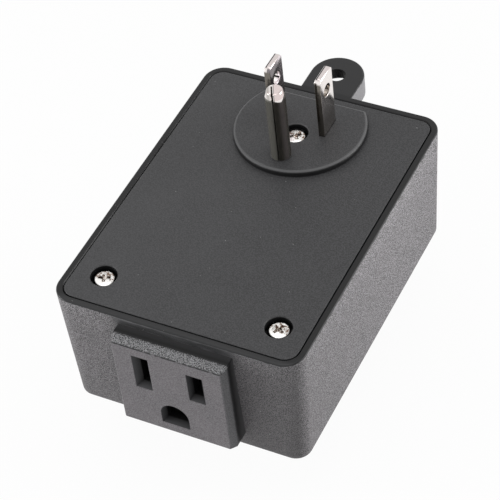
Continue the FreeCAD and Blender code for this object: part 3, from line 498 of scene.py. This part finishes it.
def satin_plastic(name, dark, light, size=0.25, gloss=0.42, depth=0.02):
    """Moulded plastic with a fine grain and a slight drift of colour."""
    finish = Finish(name, ior=1.46)
    cloud = finish.cloud(8)
    finish.colour(finish.blend(cloud, tone(*dark), tone(*light)))
    finish.gloss(finish.weigh(cloud, gloss - 0.05, gloss + 0.05))
    finish.relief(finish.noise(size, detail=2.5, rough=0.6), depth, 0.5)
    return finish.material


def metal(name, left_edge_highlight, stained, gloss=0.2, stretch=(1, 1, 8), stain_low=0.5, depth=0.004):
    """Bright metal with drawn lines along it and thin patches of stain."""
    finish = Finish(name, metallic=1.0)
    lines = finish.noise(0.12, detail=3, stretch=stretch)
    patches = finish.span(finish.noise(2.2, detail=3, rough=0.6), stain_low, 0.8, 0.0, 1.0)
    finish.colour(finish.blend(patches, tone(*left_edge_highlight), tone(*stained)))
    rough = finish.span(lines, 0.3, 0.7, gloss - 0.06, gloss + 0.08)
    finish.gloss(finish.math("ADD", rough, finish.times(patches, 0.12)))
    finish.relief(lines, depth, 0.6)
    return finish.material


def blade_skin(finish, plating, lines):
    """Nickel of the blades: bright above, with painted light and shade on the left blade's face,
    painted shade towards the root and in the holes, and a painted dark line along the bevel.
    """
    x, y, z = finish.x, finish.y, finish.z
    half_thick = blade_thickness / 2
    half_width = blade_width / 2
    left_face = finish.within(x, -blade_x, -blade_x + half_thick + 0.1)
    shaded = finish.times(finish.ramp(y, *blade_lit_y, 1.0, 0.0), finish.above(z, blade_lit_z, 1.0))
    skin = finish.blend(left_face, plating,
                        finish.blend(shaded, tone(236, 226, 230), tone(132, 126, 128)))
    skin = finish.blend(finish.above(z, blade_length - blade_bevel, 0.04), skin, tone(214, 205, 203))
    # Painted shade: a dark line along the top of each blade's outer bevel.
    for side in (-blade_x, blade_x):
        outer = side - half_thick
        line = finish.times(finish.within(x, outer - 1, outer + blade_bevel + bevel_shade_width, 0.04),
                            finish.above(z, blade_length - 0.2))
        skin = finish.blend(line, skin, tone(58, 54, 54))
    # Painted shade in the holes: the right blade's hole wall darker, and a dark bar in the left blade's
    # hole.
    shaded_bore = finish.below(finish.ray(y, z, 0.0, blade_hole_height), blade_hole_radius + 0.06)
    skin = finish.blend(finish.times(shaded_bore, finish.above(x, 0.0)), skin, tone(150, 142, 134))
    bar_low, bar_high = hole_shade_bar_rise
    shade_bar = finish.within(z, blade_hole_height + bar_low, blade_hole_height + bar_high, 0.06)
    skin = finish.blend(finish.times(shaded_bore, shade_bar, finish.below(x, 0.0)), skin, tone(16, 15, 15))
    # Painted shade and reflection of the dark plate, darkening the blades towards the root, with drawn
    # lines in it.
    root = finish.blend(finish.span(lines, 0.3, 0.7, 0.0, 1.0), tone(112, 106, 96),
                        tone(176, 170, 166))
    skin = finish.blend(finish.ramp(z, *blade_shade_z, 0.7, 0.0), skin, root)
    edge = finish.times(finish.within(y, -half_width - 1, 0.08 - half_width, 0.04),
                        finish.ramp(z, *blade_side_end_z, 1.0, 0.0))
    return finish.blend(edge, skin, tone(118, 113, 106))


def pin_skin(finish, plating, lines):
    """Nickel of the ground pin: a bright tip with painted shade lines and a painted darker crown, over
    a shank painted dark with reflection, which is darker on one side of its seam. Returns the skin and
    the mask of the shank."""
    x, z = finish.x, finish.z
    taper_z = pin_length - pin_taper
    turn = math.radians(pin_seam_turn)
    from_axis = finish.math("SUBTRACT", finish.y, pin_y * MM)
    across = finish.math("ADD", finish.times(x, math.cos(turn)),
                         finish.times(from_axis, math.sin(turn)))
    behind = finish.math("SUBTRACT", finish.times(from_axis, math.cos(turn)),
                         finish.times(x, math.sin(turn)))
    rise_low, rise_high = shank_rise
    rise = finish.ramp(across, *shank_rise_across, rise_low * MM, rise_high * MM)
    drop = finish.ramp(across, *shank_drop_across, 0.0, shank_drop * MM)
    slanted = finish.math("SUBTRACT", finish.math("ADD", z, rise), drop)
    shank = finish.below(slanted, taper_z, 0.1)
    # Painted reflection on the shank: lighter and darker bands across it, with drawn lines.
    band = finish.blend(finish.above(across, pin_seam_shift, 0.06), tone(112, 111, 105),
                        tone(44, 43, 39))
    far_side = finish.within(across, *far_side_across, 0.35)
    band = finish.blend(finish.times(far_side, 0.6), band, tone(84, 79, 80))
    band = finish.blend(finish.span(lines, 0.35, 0.7, 0.0, 0.25), band, tone(96, 88, 80))

    tapered = finish.above(z, taper_z)
    # Painted shade on the tip: a grey line beside the seam and grey stripes over the fold.
    cheek_low, cheek_high = (pin_seam_shift + place for place in cheek_from_seam)
    cheek = finish.within(across, cheek_low, cheek_high, 0.03)
    tip = finish.blend(finish.times(cheek, tapered), plating, tone(110, 104, 102))
    fold = finish.within(across, *fold_across, 0.3)
    tip = finish.blend(finish.times(fold, tapered, 0.7), tip, tone(150, 146, 140))
    high = finish.above(z, taper_z + lobe_rise)
    lobe = finish.above(across, cheek_high)
    tip = finish.blend(finish.times(lobe, high), tip, tone(222, 208, 206))
    # Painted shade: a darker crown where the lamp's highlight falls on the rounded tip.
    crown = finish.within(finish.ray(x, finish.y, 0.0, pin_y), *crown_radii, 0.06)
    tip = finish.blend(finish.times(crown, high, finish.below(behind, crown_behind, 0.3)), tip,
                       tone(186, 174, 172))
    return finish.blend(shank, tip, band), shank


def nickel():
    """Nickel of the three prongs. Its relief tilts what they reflect, since real ones lean a little."""
    finish = Finish("plated_brass", metallic=1.0)
    z = finish.z
    lines = finish.noise(0.15, detail=3, stretch=(1, 1, 12))
    blade = finish.above(finish.y, prong_split_y, 0.5)
    stain = finish.span(finish.noise(1.6, detail=3, rough=0.6), 0.62, 0.75, 0.0, 0.5)
    plating = finish.blend(stain, tone(240, 234, 231), tone(196, 182, 174))
    pin, shank = pin_skin(finish, plating, lines)
    skin = finish.blend(blade, pin, blade_skin(finish, plating, lines))
    # Painted shade on the prongs below the plate's face, where they stand in its hole.
    finish.colour(finish.blend(finish.above(z, root_shade_z, 0.04), tone(78, 78, 79), skin))
    finish.gloss(finish.span(lines, 0.3, 0.7, 0.1, 0.2))
    dull = finish.times(shank, finish.math("SUBTRACT", 1.0, blade))
    finish.metallic(finish.weigh(dull, 1.0, 0.35))
    lean = finish.ramp(z, 0.0, pin_length, 1.0, 0.0)
    waves = finish.times(finish.noise(2.5, detail=1), 0.06)
    finish.relief(finish.math("ADD", lean, waves), pin_length * blade_lean)
    return finish.material


def screw_steel():
    """Bright plating with pits, brown flecks round the recess, and a rim painted dark with the shade of
    its well.
    """
    finish = Finish("plated_steel", metallic=1.0)
    x, y = finish.x, finish.y
    plating = tone(252, 250, 247)
    shift_x, shift_y = screw_lit_shift
    busy_low, busy_high = busy_span
    clean = 0.0
    busy = 0.0
    lit = 0.0
    for seat_x, seat_y, _ in screw_seats:
        near = finish.within(x, seat_x - screw_reach, seat_x + screw_reach)
        low = finish.within(y, seat_y - screw_reach, seat_y - clean_below, 0.2)
        clean = finish.math("MAXIMUM", clean, finish.times(near, low))
        high = finish.within(y, seat_y + busy_low, seat_y + busy_high, 0.3)
        busy = finish.math("MAXIMUM", busy, finish.times(near, high))
        ray = finish.ray(x, y, seat_x + shift_x, seat_y + shift_y)
        lit = finish.math("MAXIMUM", lit, finish.below(ray, screw_lit_radius, 0.08))
    patch = finish.math("ADD", finish.noise(0.7, detail=3, rough=0.65), finish.times(busy, 0.07))
    fleck = finish.span(patch, 0.54, 0.6, 0.0, 1.0)
    skin = finish.blend(fleck, plating, tone(128, 110, 98))
    scratch = finish.times(finish.span(patch, 0.47, 0.48, 0.0, 1.0),
                           finish.span(patch, 0.5, 0.51, 1.0, 0.0))
    skin = finish.blend(scratch, skin, tone(62, 57, 52))
    skin = finish.blend(clean, skin, plating)
    # Painted shade: outside its lit circle the head's rim is dark, as its well shades it.
    finish.colour(finish.blend(lit, tone(52, 49, 46), skin))
    pits = finish.noise(0.6, detail=2.5, rough=0.6)
    finish.gloss(finish.span(pits, 0.3, 0.7, 0.1, 0.24))
    finish.relief(pits, 0.09, 0.8)
    return finish.material


def copper_wire():
    """Enamelled wire wound in close turns up the bobbin."""
    finish = Finish("copper_wire", metallic=1.0)
    turns = finish.add("TexWave", {"Vector": finish.place, "Scale": 500.0, "Distortion": 0.4},
                       bands_direction="Z").outputs[1]
    finish.colour(finish.blend(turns, tone(120, 52, 24), tone(214, 120, 66)))
    finish.gloss(finish.weigh(finish.cloud(0.8), 0.22, 0.34))
    finish.relief(turns, 0.12, 0.8)
    return finish.material


def laminate():
    """Green solder mask over glass cloth."""
    finish = Finish("board_laminate", ior=1.5)
    weave = finish.noise(0.5, detail=1, stretch=(4, 1, 1))
    finish.colour(finish.blend(finish.cloud(6, detail=3), tone(18, 74, 42), tone(28, 96, 56)))
    finish.gloss(finish.span(weave, 0.3, 0.7, 0.28, 0.4))
    finish.relief(weave, 0.02, 0.5)
    return finish.material


def resistor_body():
    """Tan body with colour bands across it."""
    finish = Finish("resistor_tan", ior=1.5)
    wave = finish.add("TexWave", {"Vector": finish.place, "Scale": 210.0}, bands_direction="X",
                      wave_profile="SAW").outputs[1]
    band = finish.span(wave, 0.78, 0.8, 0.0, 1.0)
    cloud = finish.cloud(1.5)
    skin = finish.blend(cloud, tone(196, 160, 112), tone(210, 176, 128))
    finish.colour(finish.blend(band, skin, tone(108, 48, 26)))
    finish.gloss(finish.weigh(cloud, 0.3, 0.4))
    return finish.material


def make_finishes():
    """Every material slot of the record, with its finish."""
    finishes = {
        "case_plastic": case_plastic(),
        "cover_plastic": cover_plastic(),
        "outlet_plastic": outlet_plastic(),
        "plated_steel": screw_steel(),
        "plated_brass": nickel(),
        "copper_wire": copper_wire(),
        "board_laminate": laminate(),
        "resistor_tan": resistor_body(),
    }
    metals = {
        "contact_brass": ((214, 178, 104), (150, 108, 58), {"gloss": 0.3}),
        "dark_steel": ((70, 70, 74), (46, 42, 40), {"gloss": 0.36, "stretch": (1, 1, 1)}),
        "pot_can": ((176, 176, 172), (128, 124, 112), {"gloss": 0.32}),
        "sink_aluminium": ((196, 198, 200), (160, 162, 164), {"gloss": 0.38, "stretch": (1, 10, 1)}),
    }
    plastics = {
        "retainer_board": ((112, 72, 44), (132, 88, 56), {"size": 0.6}),
        "dial_plastic": ((34, 34, 35), (40, 40, 41), {"gloss": 0.36}),
        "knob_plastic": ((30, 30, 31), (37, 37, 38), {"gloss": 0.38}),
        "pointer_white": ((226, 225, 220), (236, 235, 231), {"gloss": 0.4}),
        "switch_plastic": ((24, 24, 25), (30, 30, 31), {"gloss": 0.34}),
        "rocker_plastic": ((32, 32, 33), (39, 39, 40), {"gloss": 0.3}),
        "component_black": ((28, 28, 29), (38, 38, 39), {"gloss": 0.5}),
        "ferrite": ((52, 50, 50), (66, 63, 62), {"size": 0.4, "gloss": 0.6}),
        "film_yellow": ((214, 172, 46), (224, 184, 60), {"gloss": 0.28}),
        "film_red": ((158, 44, 30), (176, 56, 38), {"gloss": 0.26}),
        "diac_blue": ((46, 96, 168), (60, 112, 184), {"gloss": 0.28}),
        "fuse_ceramic": ((222, 218, 208), (232, 229, 221), {"gloss": 0.4}),
        "black_insulation": ((30, 30, 31), (38, 38, 39), {}),
        "white_insulation": ((216, 215, 210), (226, 225, 221), {}),
        "green_insulation": ((38, 118, 60), (48, 132, 70), {}),
    }
    for kind, rows in ((metal, metals), (satin_plastic, plastics)):
        for name, (first, second, settings) in rows.items():
            finishes[name] = kind(name, first, second, **settings)
    return finishes


def dress_nodes(finishes):
    """Gives each node of the frame the finish of its slot."""
    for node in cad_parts.values():
        for place in node.material_slots:
            place.material = finishes[place.material.name.split(".")[0]]


def add_object(name, data):
    """A new object in the scene."""
    thing = bpy.data.objects.new(name, data)
    bpy.context.scene.collection.objects.link(thing)
    return thing


def mesh_of(name, shape):
    """A mesh of the shape, which is freed."""
    mesh = bpy.data.meshes.new(name)
    shape.to_mesh(mesh)
    shape.free()
    return mesh


def shape_of(thing):
    """The shape that an object has after its modifiers. The object is removed."""
    graph = bpy.context.evaluated_depsgraph_get()
    mesh = bpy.data.meshes.new_from_object(thing.evaluated_get(graph))
    shape = bmesh.new()
    shape.from_mesh(mesh)
    bpy.data.meshes.remove(mesh)
    bpy.data.objects.remove(thing)
    return shape


def loft(rings):
    """A closed skin through rings that have as many points as each other."""
    shape = bmesh.new()
    rows = [[shape.verts.new(point) for point in ring] for ring in rings]
    count = len(rows[0])
    for low, high in zip(rows, rows[1:]):
        for i in range(count):
            j = (i + 1) % count
            shape.faces.new((low[i], low[j], high[j], high[i]))
    shape.faces.new(list(reversed(rows[0])))
    shape.faces.new(rows[-1])
    return shape


def arc(x, y, radius, start, stop, steps):
    """Points of an arc, both ends included, with its angles in radians."""
    angles = [start + (stop - start) * step / steps for step in range(steps + 1)]
    return [(x + radius * math.cos(angle), y + radius * math.sin(angle)) for angle in angles]


def circle(radius, height, count, x=0.0, y=0.0):
    """Ring of a level circle."""
    return [(px, py, height) for px, py in arc(x, y, radius, 0.0, 2 * math.pi, count)[:-1]]


def lathe(profile, count, x=0.0, y=0.0):
    """A turned body about an upright axis, from (radius, height) points, lowest first."""
    return loft([circle(radius, height, count, x, y) for radius, height in profile])


def rounded_section(half_x, half_y, radius, z, x=0.0, y=0.0, steps=4):
    """Ring of a rectangle with round corners."""
    points = []
    for corner, (side_x, side_y) in enumerate(((1, 1), (-1, 1), (-1, -1), (1, -1))):
        start = math.pi / 2 * corner
        points += arc(x + side_x * (half_x - radius), y + side_y * (half_y - radius), radius,
                      start, start + math.pi / 2, steps)
    return [(px, py, z) for px, py in points]


def block(x_low, x_high, y_low, y_high, z_low, z_high, edge):
    """A box with its edges rounded."""
    half_x = (x_high - x_low) / 2
    half_y = (y_high - y_low) / 2
    x = (x_low + x_high) / 2
    y = (y_low + y_high) / 2
    rings = []
    for step in range(4):
        angle = math.pi / 6 * step
        inset = edge * (1 - math.sin(angle))
        rings.append(rounded_section(half_x - inset, half_y - inset, edge - inset * 0.5,
                                     z_low + edge * (1 - math.cos(angle)), x, y))
    rings += [[(px, py, z_low + z_high - pz) for px, py, pz in ring] for ring in reversed(rings)]
    return loft(rings)


def joined(parts):
    """One shape of several separate bodies."""
    whole = bmesh.new()
    for part in parts:
        mesh = mesh_of("part", part)
        whole.from_mesh(mesh)
        bpy.data.meshes.remove(mesh)
    return whole


def carved(body, cutter):
    """The body with the cutter's volume taken out."""
    things = []
    for name, shape in (("carve_body", body), ("carve_cutter", cutter)):
        bmesh.ops.recalc_face_normals(shape, faces=shape.faces)
        things.append(add_object(name, mesh_of(name, shape)))
    modifier = things[0].modifiers.new("carve", "BOOLEAN")
    modifier.operation = "DIFFERENCE"
    modifier.solver = "EXACT"
    modifier.object = things[1]
    result = shape_of(things[0])
    bpy.data.objects.remove(things[1])
    return result


def make_piece(name, shape, body, finish, replaced=()):
    """Turns a shape drawn in millimetres into a piece that rides on a body."""
    bmesh.ops.remove_doubles(shape, verts=shape.verts, dist=0.0005)
    bmesh.ops.recalc_face_normals(shape, faces=shape.faces)
    bmesh.ops.scale(shape, vec=(MM, MM, MM), verts=shape.verts)
    for face in shape.faces:
        face.smooth = True
    for edge in shape.edges:
        edge.smooth = edge.calc_face_angle(math.pi) < math.radians(sharp_angle)
    mesh = mesh_of(name, shape)
    mesh.materials.append(finish)
    piece = add_object(name, mesh)
    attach(piece, body)
    if replaced:
        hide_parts(*replaced)


def stamped_blade(x):
    """A plug blade with a bevelled tip and clipped corners, its hole, its shoulder and its tail."""
    half_x = blade_thickness / 2
    half_y = blade_width / 2
    corner_z = blade_length - blade_corner
    bevel_z = blade_length - blade_bevel
    clipped = blade_corner - blade_bevel

    # Each station is a height and how far the section draws in there, in X and in Y.
    stations = [(shoulder_high_z, 0.0, 0.0), (corner_z - 0.08, 0.0, 0.0), (corner_z + 0.05, 0.0, 0.08),
                (bevel_z - 0.04, 0.0, clipped - 0.04), (bevel_z + 0.06, 0.07, clipped + 0.06),
                (blade_length - 0.04, blade_bevel - 0.06, blade_corner - 0.06),
                (blade_length, blade_bevel + 0.02, blade_corner + 0.02)]
    blade = loft([rounded_section(half_x - inset_x, half_y - inset_y, blade_edge, height, x)
                  for height, inset_x, inset_y in stations])
    reach = half_x + cut_margin
    lip_radius = blade_hole_radius + blade_hole_lip + cut_margin
    lip_start = half_x - blade_hole_lip
    cutter = lathe([(lip_radius, -reach), (blade_hole_radius, -lip_start),
                    (blade_hole_radius, lip_start), (lip_radius, reach)], 32)
    turned = Matrix.Translation((x, 0, blade_hole_height)) @ Matrix.Rotation(math.pi / 2, 4, "Y")
    bmesh.ops.transform(cutter, matrix=turned, verts=cutter.verts)
    shoulder_low_z = shoulder_high_z - shoulder_height
    shoulder = block(x - half_x, x + half_x, -shoulder_width / 2, shoulder_width / 2,
                     shoulder_low_z, shoulder_high_z, hidden_edge)
    tail = block(x - half_x, x + half_x, -tail_width / 2, tail_width / 2,
                 tail_z, shoulder_low_z, hidden_edge)
    return joined([carved(blade, cutter), shoulder, tail])


def folded_ring(radius, height):
    """Outline of the sheet folded round into the ground pin. Its seam opens over the tapered tip."""
    above_taper = (height - pin_length + pin_taper) / pin_taper
    opening = min(max(above_taper * 3 + 0.5, 0), 1)
    half_seam = pin_half_seam + (pin_tip_half_seam - pin_half_seam) * opening
    right_x = pin_seam_shift + half_seam + pin_lip
    left_x = pin_seam_shift - half_seam - pin_lip
    right_y = -math.sqrt((radius - pin_lip) ** 2 - right_x ** 2)
    left_y = -math.sqrt((radius - pin_lip) ** 2 - left_x ** 2)
    right_touch = math.atan2(right_y, right_x)
    left_touch = math.atan2(left_y, left_x) + 2 * math.pi
    points = arc(pin_seam_shift, pin_seam_floor, half_seam, math.pi, 0.0, 6)
    points += arc(right_x, right_y, pin_lip, -math.pi, right_touch, 6)
    points += arc(0.0, 0.0, radius, right_touch, left_touch, 48)[1:-1]
    points += arc(left_x, left_y, pin_lip, left_touch, 2 * math.pi, 6)
    turn = math.radians(pin_seam_turn)
    return [(x * math.cos(turn) - y * math.sin(turn),
             pin_y + x * math.sin(turn) + y * math.cos(turn), height) for x, y in points]


def folded_pin():
    """The round ground pin, folded from sheet, with a tapered tip, and its collar and tail inside."""
    taper_z = pin_length - pin_taper
    slope = (pin_radius - pin_tip_radius) / pin_taper
    round_z = pin_length - pin_tip_rounding
    round_radius = pin_tip_radius + pin_tip_rounding * slope
    stations = [(pin_radius, pin_root_z), (pin_radius, taper_z - pin_taper_blend),
                (pin_radius - 0.02, taper_z),
                (pin_radius - pin_taper_blend * slope, taper_z + pin_taper_blend),
                (round_radius, round_z)]
    for step in range(1, 6):
        turn = math.pi / 10 * step
        stations.append((round_radius - pin_tip_rounding * (1 - math.cos(turn)),
                         round_z + pin_tip_rounding * math.sin(turn)))
    pin = loft([folded_ring(radius, height) for radius, height in stations])
    collar_low_z = shoulder_high_z - shoulder_height
    root = lathe([(pin_root_radius, shoulder_high_z), (pin_root_radius, pin_root_z)], 48, 0, pin_y)
    collar = lathe([(pin_collar_radius, collar_low_z), (pin_collar_radius, shoulder_high_z)],
                   48, 0, pin_y)
    half_tail = pin_tail_width / 2
    half_thick = pin_tail_thickness / 2
    tail = block(-half_tail, half_tail, pin_y - half_thick, pin_y + half_thick,
                 tail_z, collar_low_z, hidden_edge)
    return joined([pin, root, collar, tail])


def cross_cutters(top_z):
    """The cutters of the screwdriver recess: two tapered arms and the cone at their heart."""
    arms = []
    for turn in (0, math.pi / 2):
        rings = []
        for depth, width_share, length_share in ((cross_depth, 0.65, 0.48), (-cross_overshoot, 1, 1.1)):
            half_width = cross_half_width * width_share
            half_length = cross_half_length * length_share
            height = top_z - depth
            rings.append([(half_length, half_width, height), (-half_length, half_width, height),
                          (-half_length, -half_width, height), (half_length, -half_width, height)])
        arm = loft(rings)
        bmesh.ops.rotate(arm, cent=(0, 0, 0), matrix=Matrix.Rotation(turn, 3, "Z"), verts=arm.verts)
        arms.append(arm)
    low_radius, high_radius = cross_heart_radii
    heart = lathe([(low_radius, top_z - cross_depth - cross_heart_extra),
                   (high_radius, top_z + cross_overshoot)], 20)
    return arms + [heart]


def cover_screw(x, y, seat_z, turn):
    """A pan-head screw with a cross recess and a threaded shank."""
    top_z = seat_z + screw_head_height
    flat_radius = screw_head_radius - screw_head_edge
    edge_z = top_z - screw_head_edge - screw_head_crown
    profile = [(screw_thread_radius, seat_z), (screw_head_radius - screw_head_crown, seat_z),
               (screw_head_radius, seat_z + screw_head_crown)]
    profile += arc(flat_radius, edge_z, screw_head_edge, 0.0, math.pi / 2, 6)
    profile += [(flat_radius * share, top_z - screw_head_crown * share * share)
                for share in (0.7, 0.4, 0.12)]
    head = lathe(profile, 48)
    for cutter in cross_cutters(top_z):
        head = carved(head, cutter)
    shank_rings = []
    steps = int(screw_length / screw_pitch * 2)
    for step in range(steps + 1):
        radius = screw_root_radius if step % 2 else screw_thread_radius
        height = seat_z - screw_length * (1 - step / steps)
        shank_rings.append(circle(radius, height, 24))
    screw = joined([head, loft(shank_rings)])
    placed = Matrix.Translation((x, y, 0)) @ Matrix.Rotation(math.radians(turn), 4, "Z")
    bmesh.ops.transform(screw, matrix=placed, verts=screw.verts)
    return screw


def on_scale(radius, angle):
    """Point (x, y) of the dial, at an angle in degrees."""
    turn = math.radians(angle)
    return radius * math.cos(turn), knob_y + radius * math.sin(turn)


def tick(angle, inner, outer, width):
    """One thin printed mark of the scale."""
    turn = math.radians(angle)
    along = Vector((math.cos(turn), math.sin(turn)))
    side = Vector((-along.y, along.x)) * width / 2
    centre = Vector((0, knob_y))
    corners = [centre + along * inner - side, centre + along * outer - side,
               centre + along * outer + side, centre + along * inner + side]
    return loft([[(*corner, height) for corner in corners]
                 for height in (dial_z - print_height, dial_z)])


def number(text, angle):
    """A plain number of the scale, upright as seen from the front."""
    curve = bpy.data.curves.new("number", "FONT")
    curve.body = text
    curve.size = number_size
    curve.align_x = "CENTER"
    curve.align_y = "CENTER"
    curve.extrude = print_height / 2
    shape = shape_of(add_object("number", curve))
    place = Vector((*on_scale(number_radius, angle), dial_z - print_height / 2))
    turned = Matrix.Translation(place) @ Matrix.Rotation(math.pi, 4, "Y")
    bmesh.ops.transform(shape, matrix=turned, verts=shape.verts)
    return shape


def wedge():
    """The arc under the ticks that widens from slow to fast."""
    lines = ([], [])
    steps = 60
    for step in range(steps + 1):
        share = step / steps
        angle = scale_start + scale_sweep * share
        outer = arc_slow_outer + (arc_fast_outer - arc_slow_outer) * share
        for line, radius in zip(lines, (arc_inner, outer)):
            line.append(on_scale(radius, angle))
    shape = bmesh.new()
    rows = [[[shape.verts.new((x, y, height)) for x, y in line] for line in lines]
            for height in (dial_z - print_height, dial_z)]
    for i in range(steps):
        for row in rows:
            shape.faces.new((row[0][i], row[0][i + 1], row[1][i + 1], row[1][i]))
        for k in (0, 1):
            shape.faces.new((rows[0][k][i], rows[0][k][i + 1], rows[1][k][i + 1], rows[1][k][i]))
    for i in (0, steps):
        shape.faces.new((rows[0][0][i], rows[0][1][i], rows[1][1][i], rows[1][0][i]))
    return shape


def dial_print():
    """Scale of plain numbers, ticks and a widening arc round the knob."""
    parts = [wedge()]
    major = scale_sweep / (scale_numbers - 1)
    for index in range(scale_numbers):
        angle = scale_start + major * index
        parts.append(tick(angle, tick_inner, tick_outer, tick_width))
        parts.append(number(str(index), angle))
        if index < scale_numbers - 1:
            for step in range(1, minor_ticks):
                parts.append(tick(angle + major * step / minor_ticks, tick_inner, minor_outer,
                                  minor_width))
    return joined(parts)


def rocker_mark(outline):
    """A thin raised mark that lies on the rocker's face, which dips towards its middle."""
    rings = []
    for offset in (-mark_height, mark_sink):
        rings.append([])
        for x, y in outline:
            share = min(abs(y - switch_y) / rocker_half_length, 1.0)
            rings[-1].append((x, y, rocker_middle_z - rocker_rise * share + offset))
    return loft(rings)


def rocker_bar(y):
    """One bar across the rocker."""
    return rocker_mark([(switch_x - bar_half_length, y - bar_half_width),
                        (switch_x + bar_half_length, y - bar_half_width),
                        (switch_x + bar_half_length, y + bar_half_width),
                        (switch_x - bar_half_length, y + bar_half_width)])


def rocker_marks():
    """A ring in the middle of the rocker, one bar at one end and two bars at the other end."""
    steps = 28
    inner = arc(switch_x, switch_y, ring_inner, 0.0, 2 * math.pi, steps)
    outer = arc(switch_x, switch_y, ring_outer, 0.0, 2 * math.pi, steps)
    marks = [rocker_mark((inner[i], outer[i], outer[i + 1], inner[i + 1])) for i in range(steps)]
    marks.append(rocker_bar(switch_y + mark_distance))
    for side in (-bar_half_gap, bar_half_gap):
        marks.append(rocker_bar(switch_y - mark_distance + side))
    return joined(marks)


def make_pieces(finishes):
    """The pieces that stand for CAD nodes in more detail, and the prints."""
    for name, node, x in (("stamped_blade_left", "hot_blade", -blade_x),
                          ("stamped_blade_right", "neutral_blade", blade_x)):
        make_piece(name, stamped_blade(x), "case", finishes["plated_brass"], (node,))
    make_piece("folded_ground_pin", folded_pin(), "case", finishes["plated_brass"],
               ("ground_pin",))
    screws = [cover_screw(*seat, turn) for seat, turn in zip(screw_seats, screw_turns)]
    make_piece("cross_recess_screws", joined(screws), "case",
               finishes["plated_steel"], ("cover_screws",))
    make_piece("dial_scale", dial_print(), "case", finishes["pointer_white"])
    make_piece("rocker_marks", rocker_marks(), "rocker", finishes["pointer_white"])


def make_camera():
    """The camera of the photograph."""
    azimuth = math.radians(camera_azimuth)
    elevation = math.radians(camera_elevation)
    forward = Vector((-math.sin(azimuth) * math.cos(elevation),
                      math.cos(azimuth) * math.cos(elevation), -math.sin(elevation)))
    data = bpy.data.cameras.new("camera")
    data.lens = camera_lens
    data.sensor_width = camera_sensor
    data.clip_start = 0.01
    data.clip_end = 20.0
    camera = add_object("camera", data)
    camera.location = camera_place
    camera.rotation_mode = "QUATERNION"
    roll = Quaternion((0, 0, 1), math.radians(camera_roll))
    camera.rotation_quaternion = forward.to_track_quat("-Z", "Y") @ roll
    bpy.context.scene.camera = camera


def make_world():
    """White to the camera and to reflections; to the rest, light that is weakest at the horizon."""
    world = bpy.data.worlds.new("studio")
    world.use_nodes = True
    world.node_tree.nodes.clear()
    nodes = Nodes(world.node_tree)
    direction = nodes.add("TexCoord").outputs["Generated"]
    height = nodes.add("SeparateXYZ", {0: direction}).outputs["Z"]
    light = nodes.math("MAXIMUM", nodes.span(height, *upper_span, horizon_light, upper_light),
                       nodes.span(height, *under_span, under_light, 0.0))
    path = nodes.add("LightPath").outputs
    seen = nodes.math("MAXIMUM", path["Is Camera Ray"], path["Is Glossy Ray"])
    background = nodes.add("Background", {0: (1, 1, 1, 1), 1: nodes.weigh(seen, light, 1.0)})
    nodes.add("OutputWorld", {0: background.outputs[0]})
    bpy.context.scene.world = world


def soft_lamp(name, place, size, watts):
    """A square lamp that looks at the part."""
    data = bpy.data.lights.new(name, "AREA")
    data.shape = "SQUARE"
    data.size = size
    data.energy = watts
    lamp = add_object(name, data)
    lamp.location = place
    lamp.rotation_mode = "QUATERNION"
    aim = Vector(lamp_target) - Vector(place)
    lamp.rotation_quaternion = aim.to_track_quat("-Z", "Y")


def floor_material():
    """A pale floor that reads white and keeps a faint shadow; it is clear from below."""
    material = bpy.data.materials.new("floor_finish")
    material.use_nodes = True
    material.node_tree.nodes.clear()
    nodes = Nodes(material.node_tree)
    path = nodes.add("LightPath").outputs
    seen = path["Is Camera Ray"]
    for ray in ("Is Glossy Ray", "Is Transmission Ray"):
        seen = nodes.math("MAXIMUM", seen, path[ray])
    paint = nodes.add("BsdfDiffuse", {0: (floor_grey, floor_grey, floor_grey, 1)})
    glow = nodes.add("Emission")
    top = nodes.add("MixShader", {0: nodes.math("MULTIPLY", seen, floor_glow),
                                  1: paint.outputs[0], 2: glow.outputs[0]})
    clear = nodes.add("BsdfTransparent")
    side = nodes.add("NewGeometry")
    whole = nodes.add("MixShader", {0: side.outputs["Backfacing"], 1: top.outputs[0],
                                    2: clear.outputs[0]})
    nodes.add("OutputMaterial", {0: whole.outputs[0]})
    return material


def make_floor():
    """The floor under the lowest point of the part."""
    mesh = bpy.data.meshes.new("floor")
    half = floor_size / 2
    z = cad_box[0].z
    corners = [(-half, -half, z), (half, -half, z), (half, half, z), (-half, half, z)]
    mesh.from_pydata(corners, [], [(0, 1, 2, 3)])
    mesh.materials.append(floor_material())
    floor = add_object("floor", mesh)


def make_studio():
    """Camera, background, floor and lamps."""
    make_camera()
    make_world()
    make_floor()
    for name, settings in lamps.items():
        soft_lamp(name, **settings)
    bpy.context.scene.view_settings.view_transform = "Standard"


make_studio()
finishes = make_finishes()
dress_nodes(finishes)
make_pieces(finishes)

bpy.context.view_layer.update()
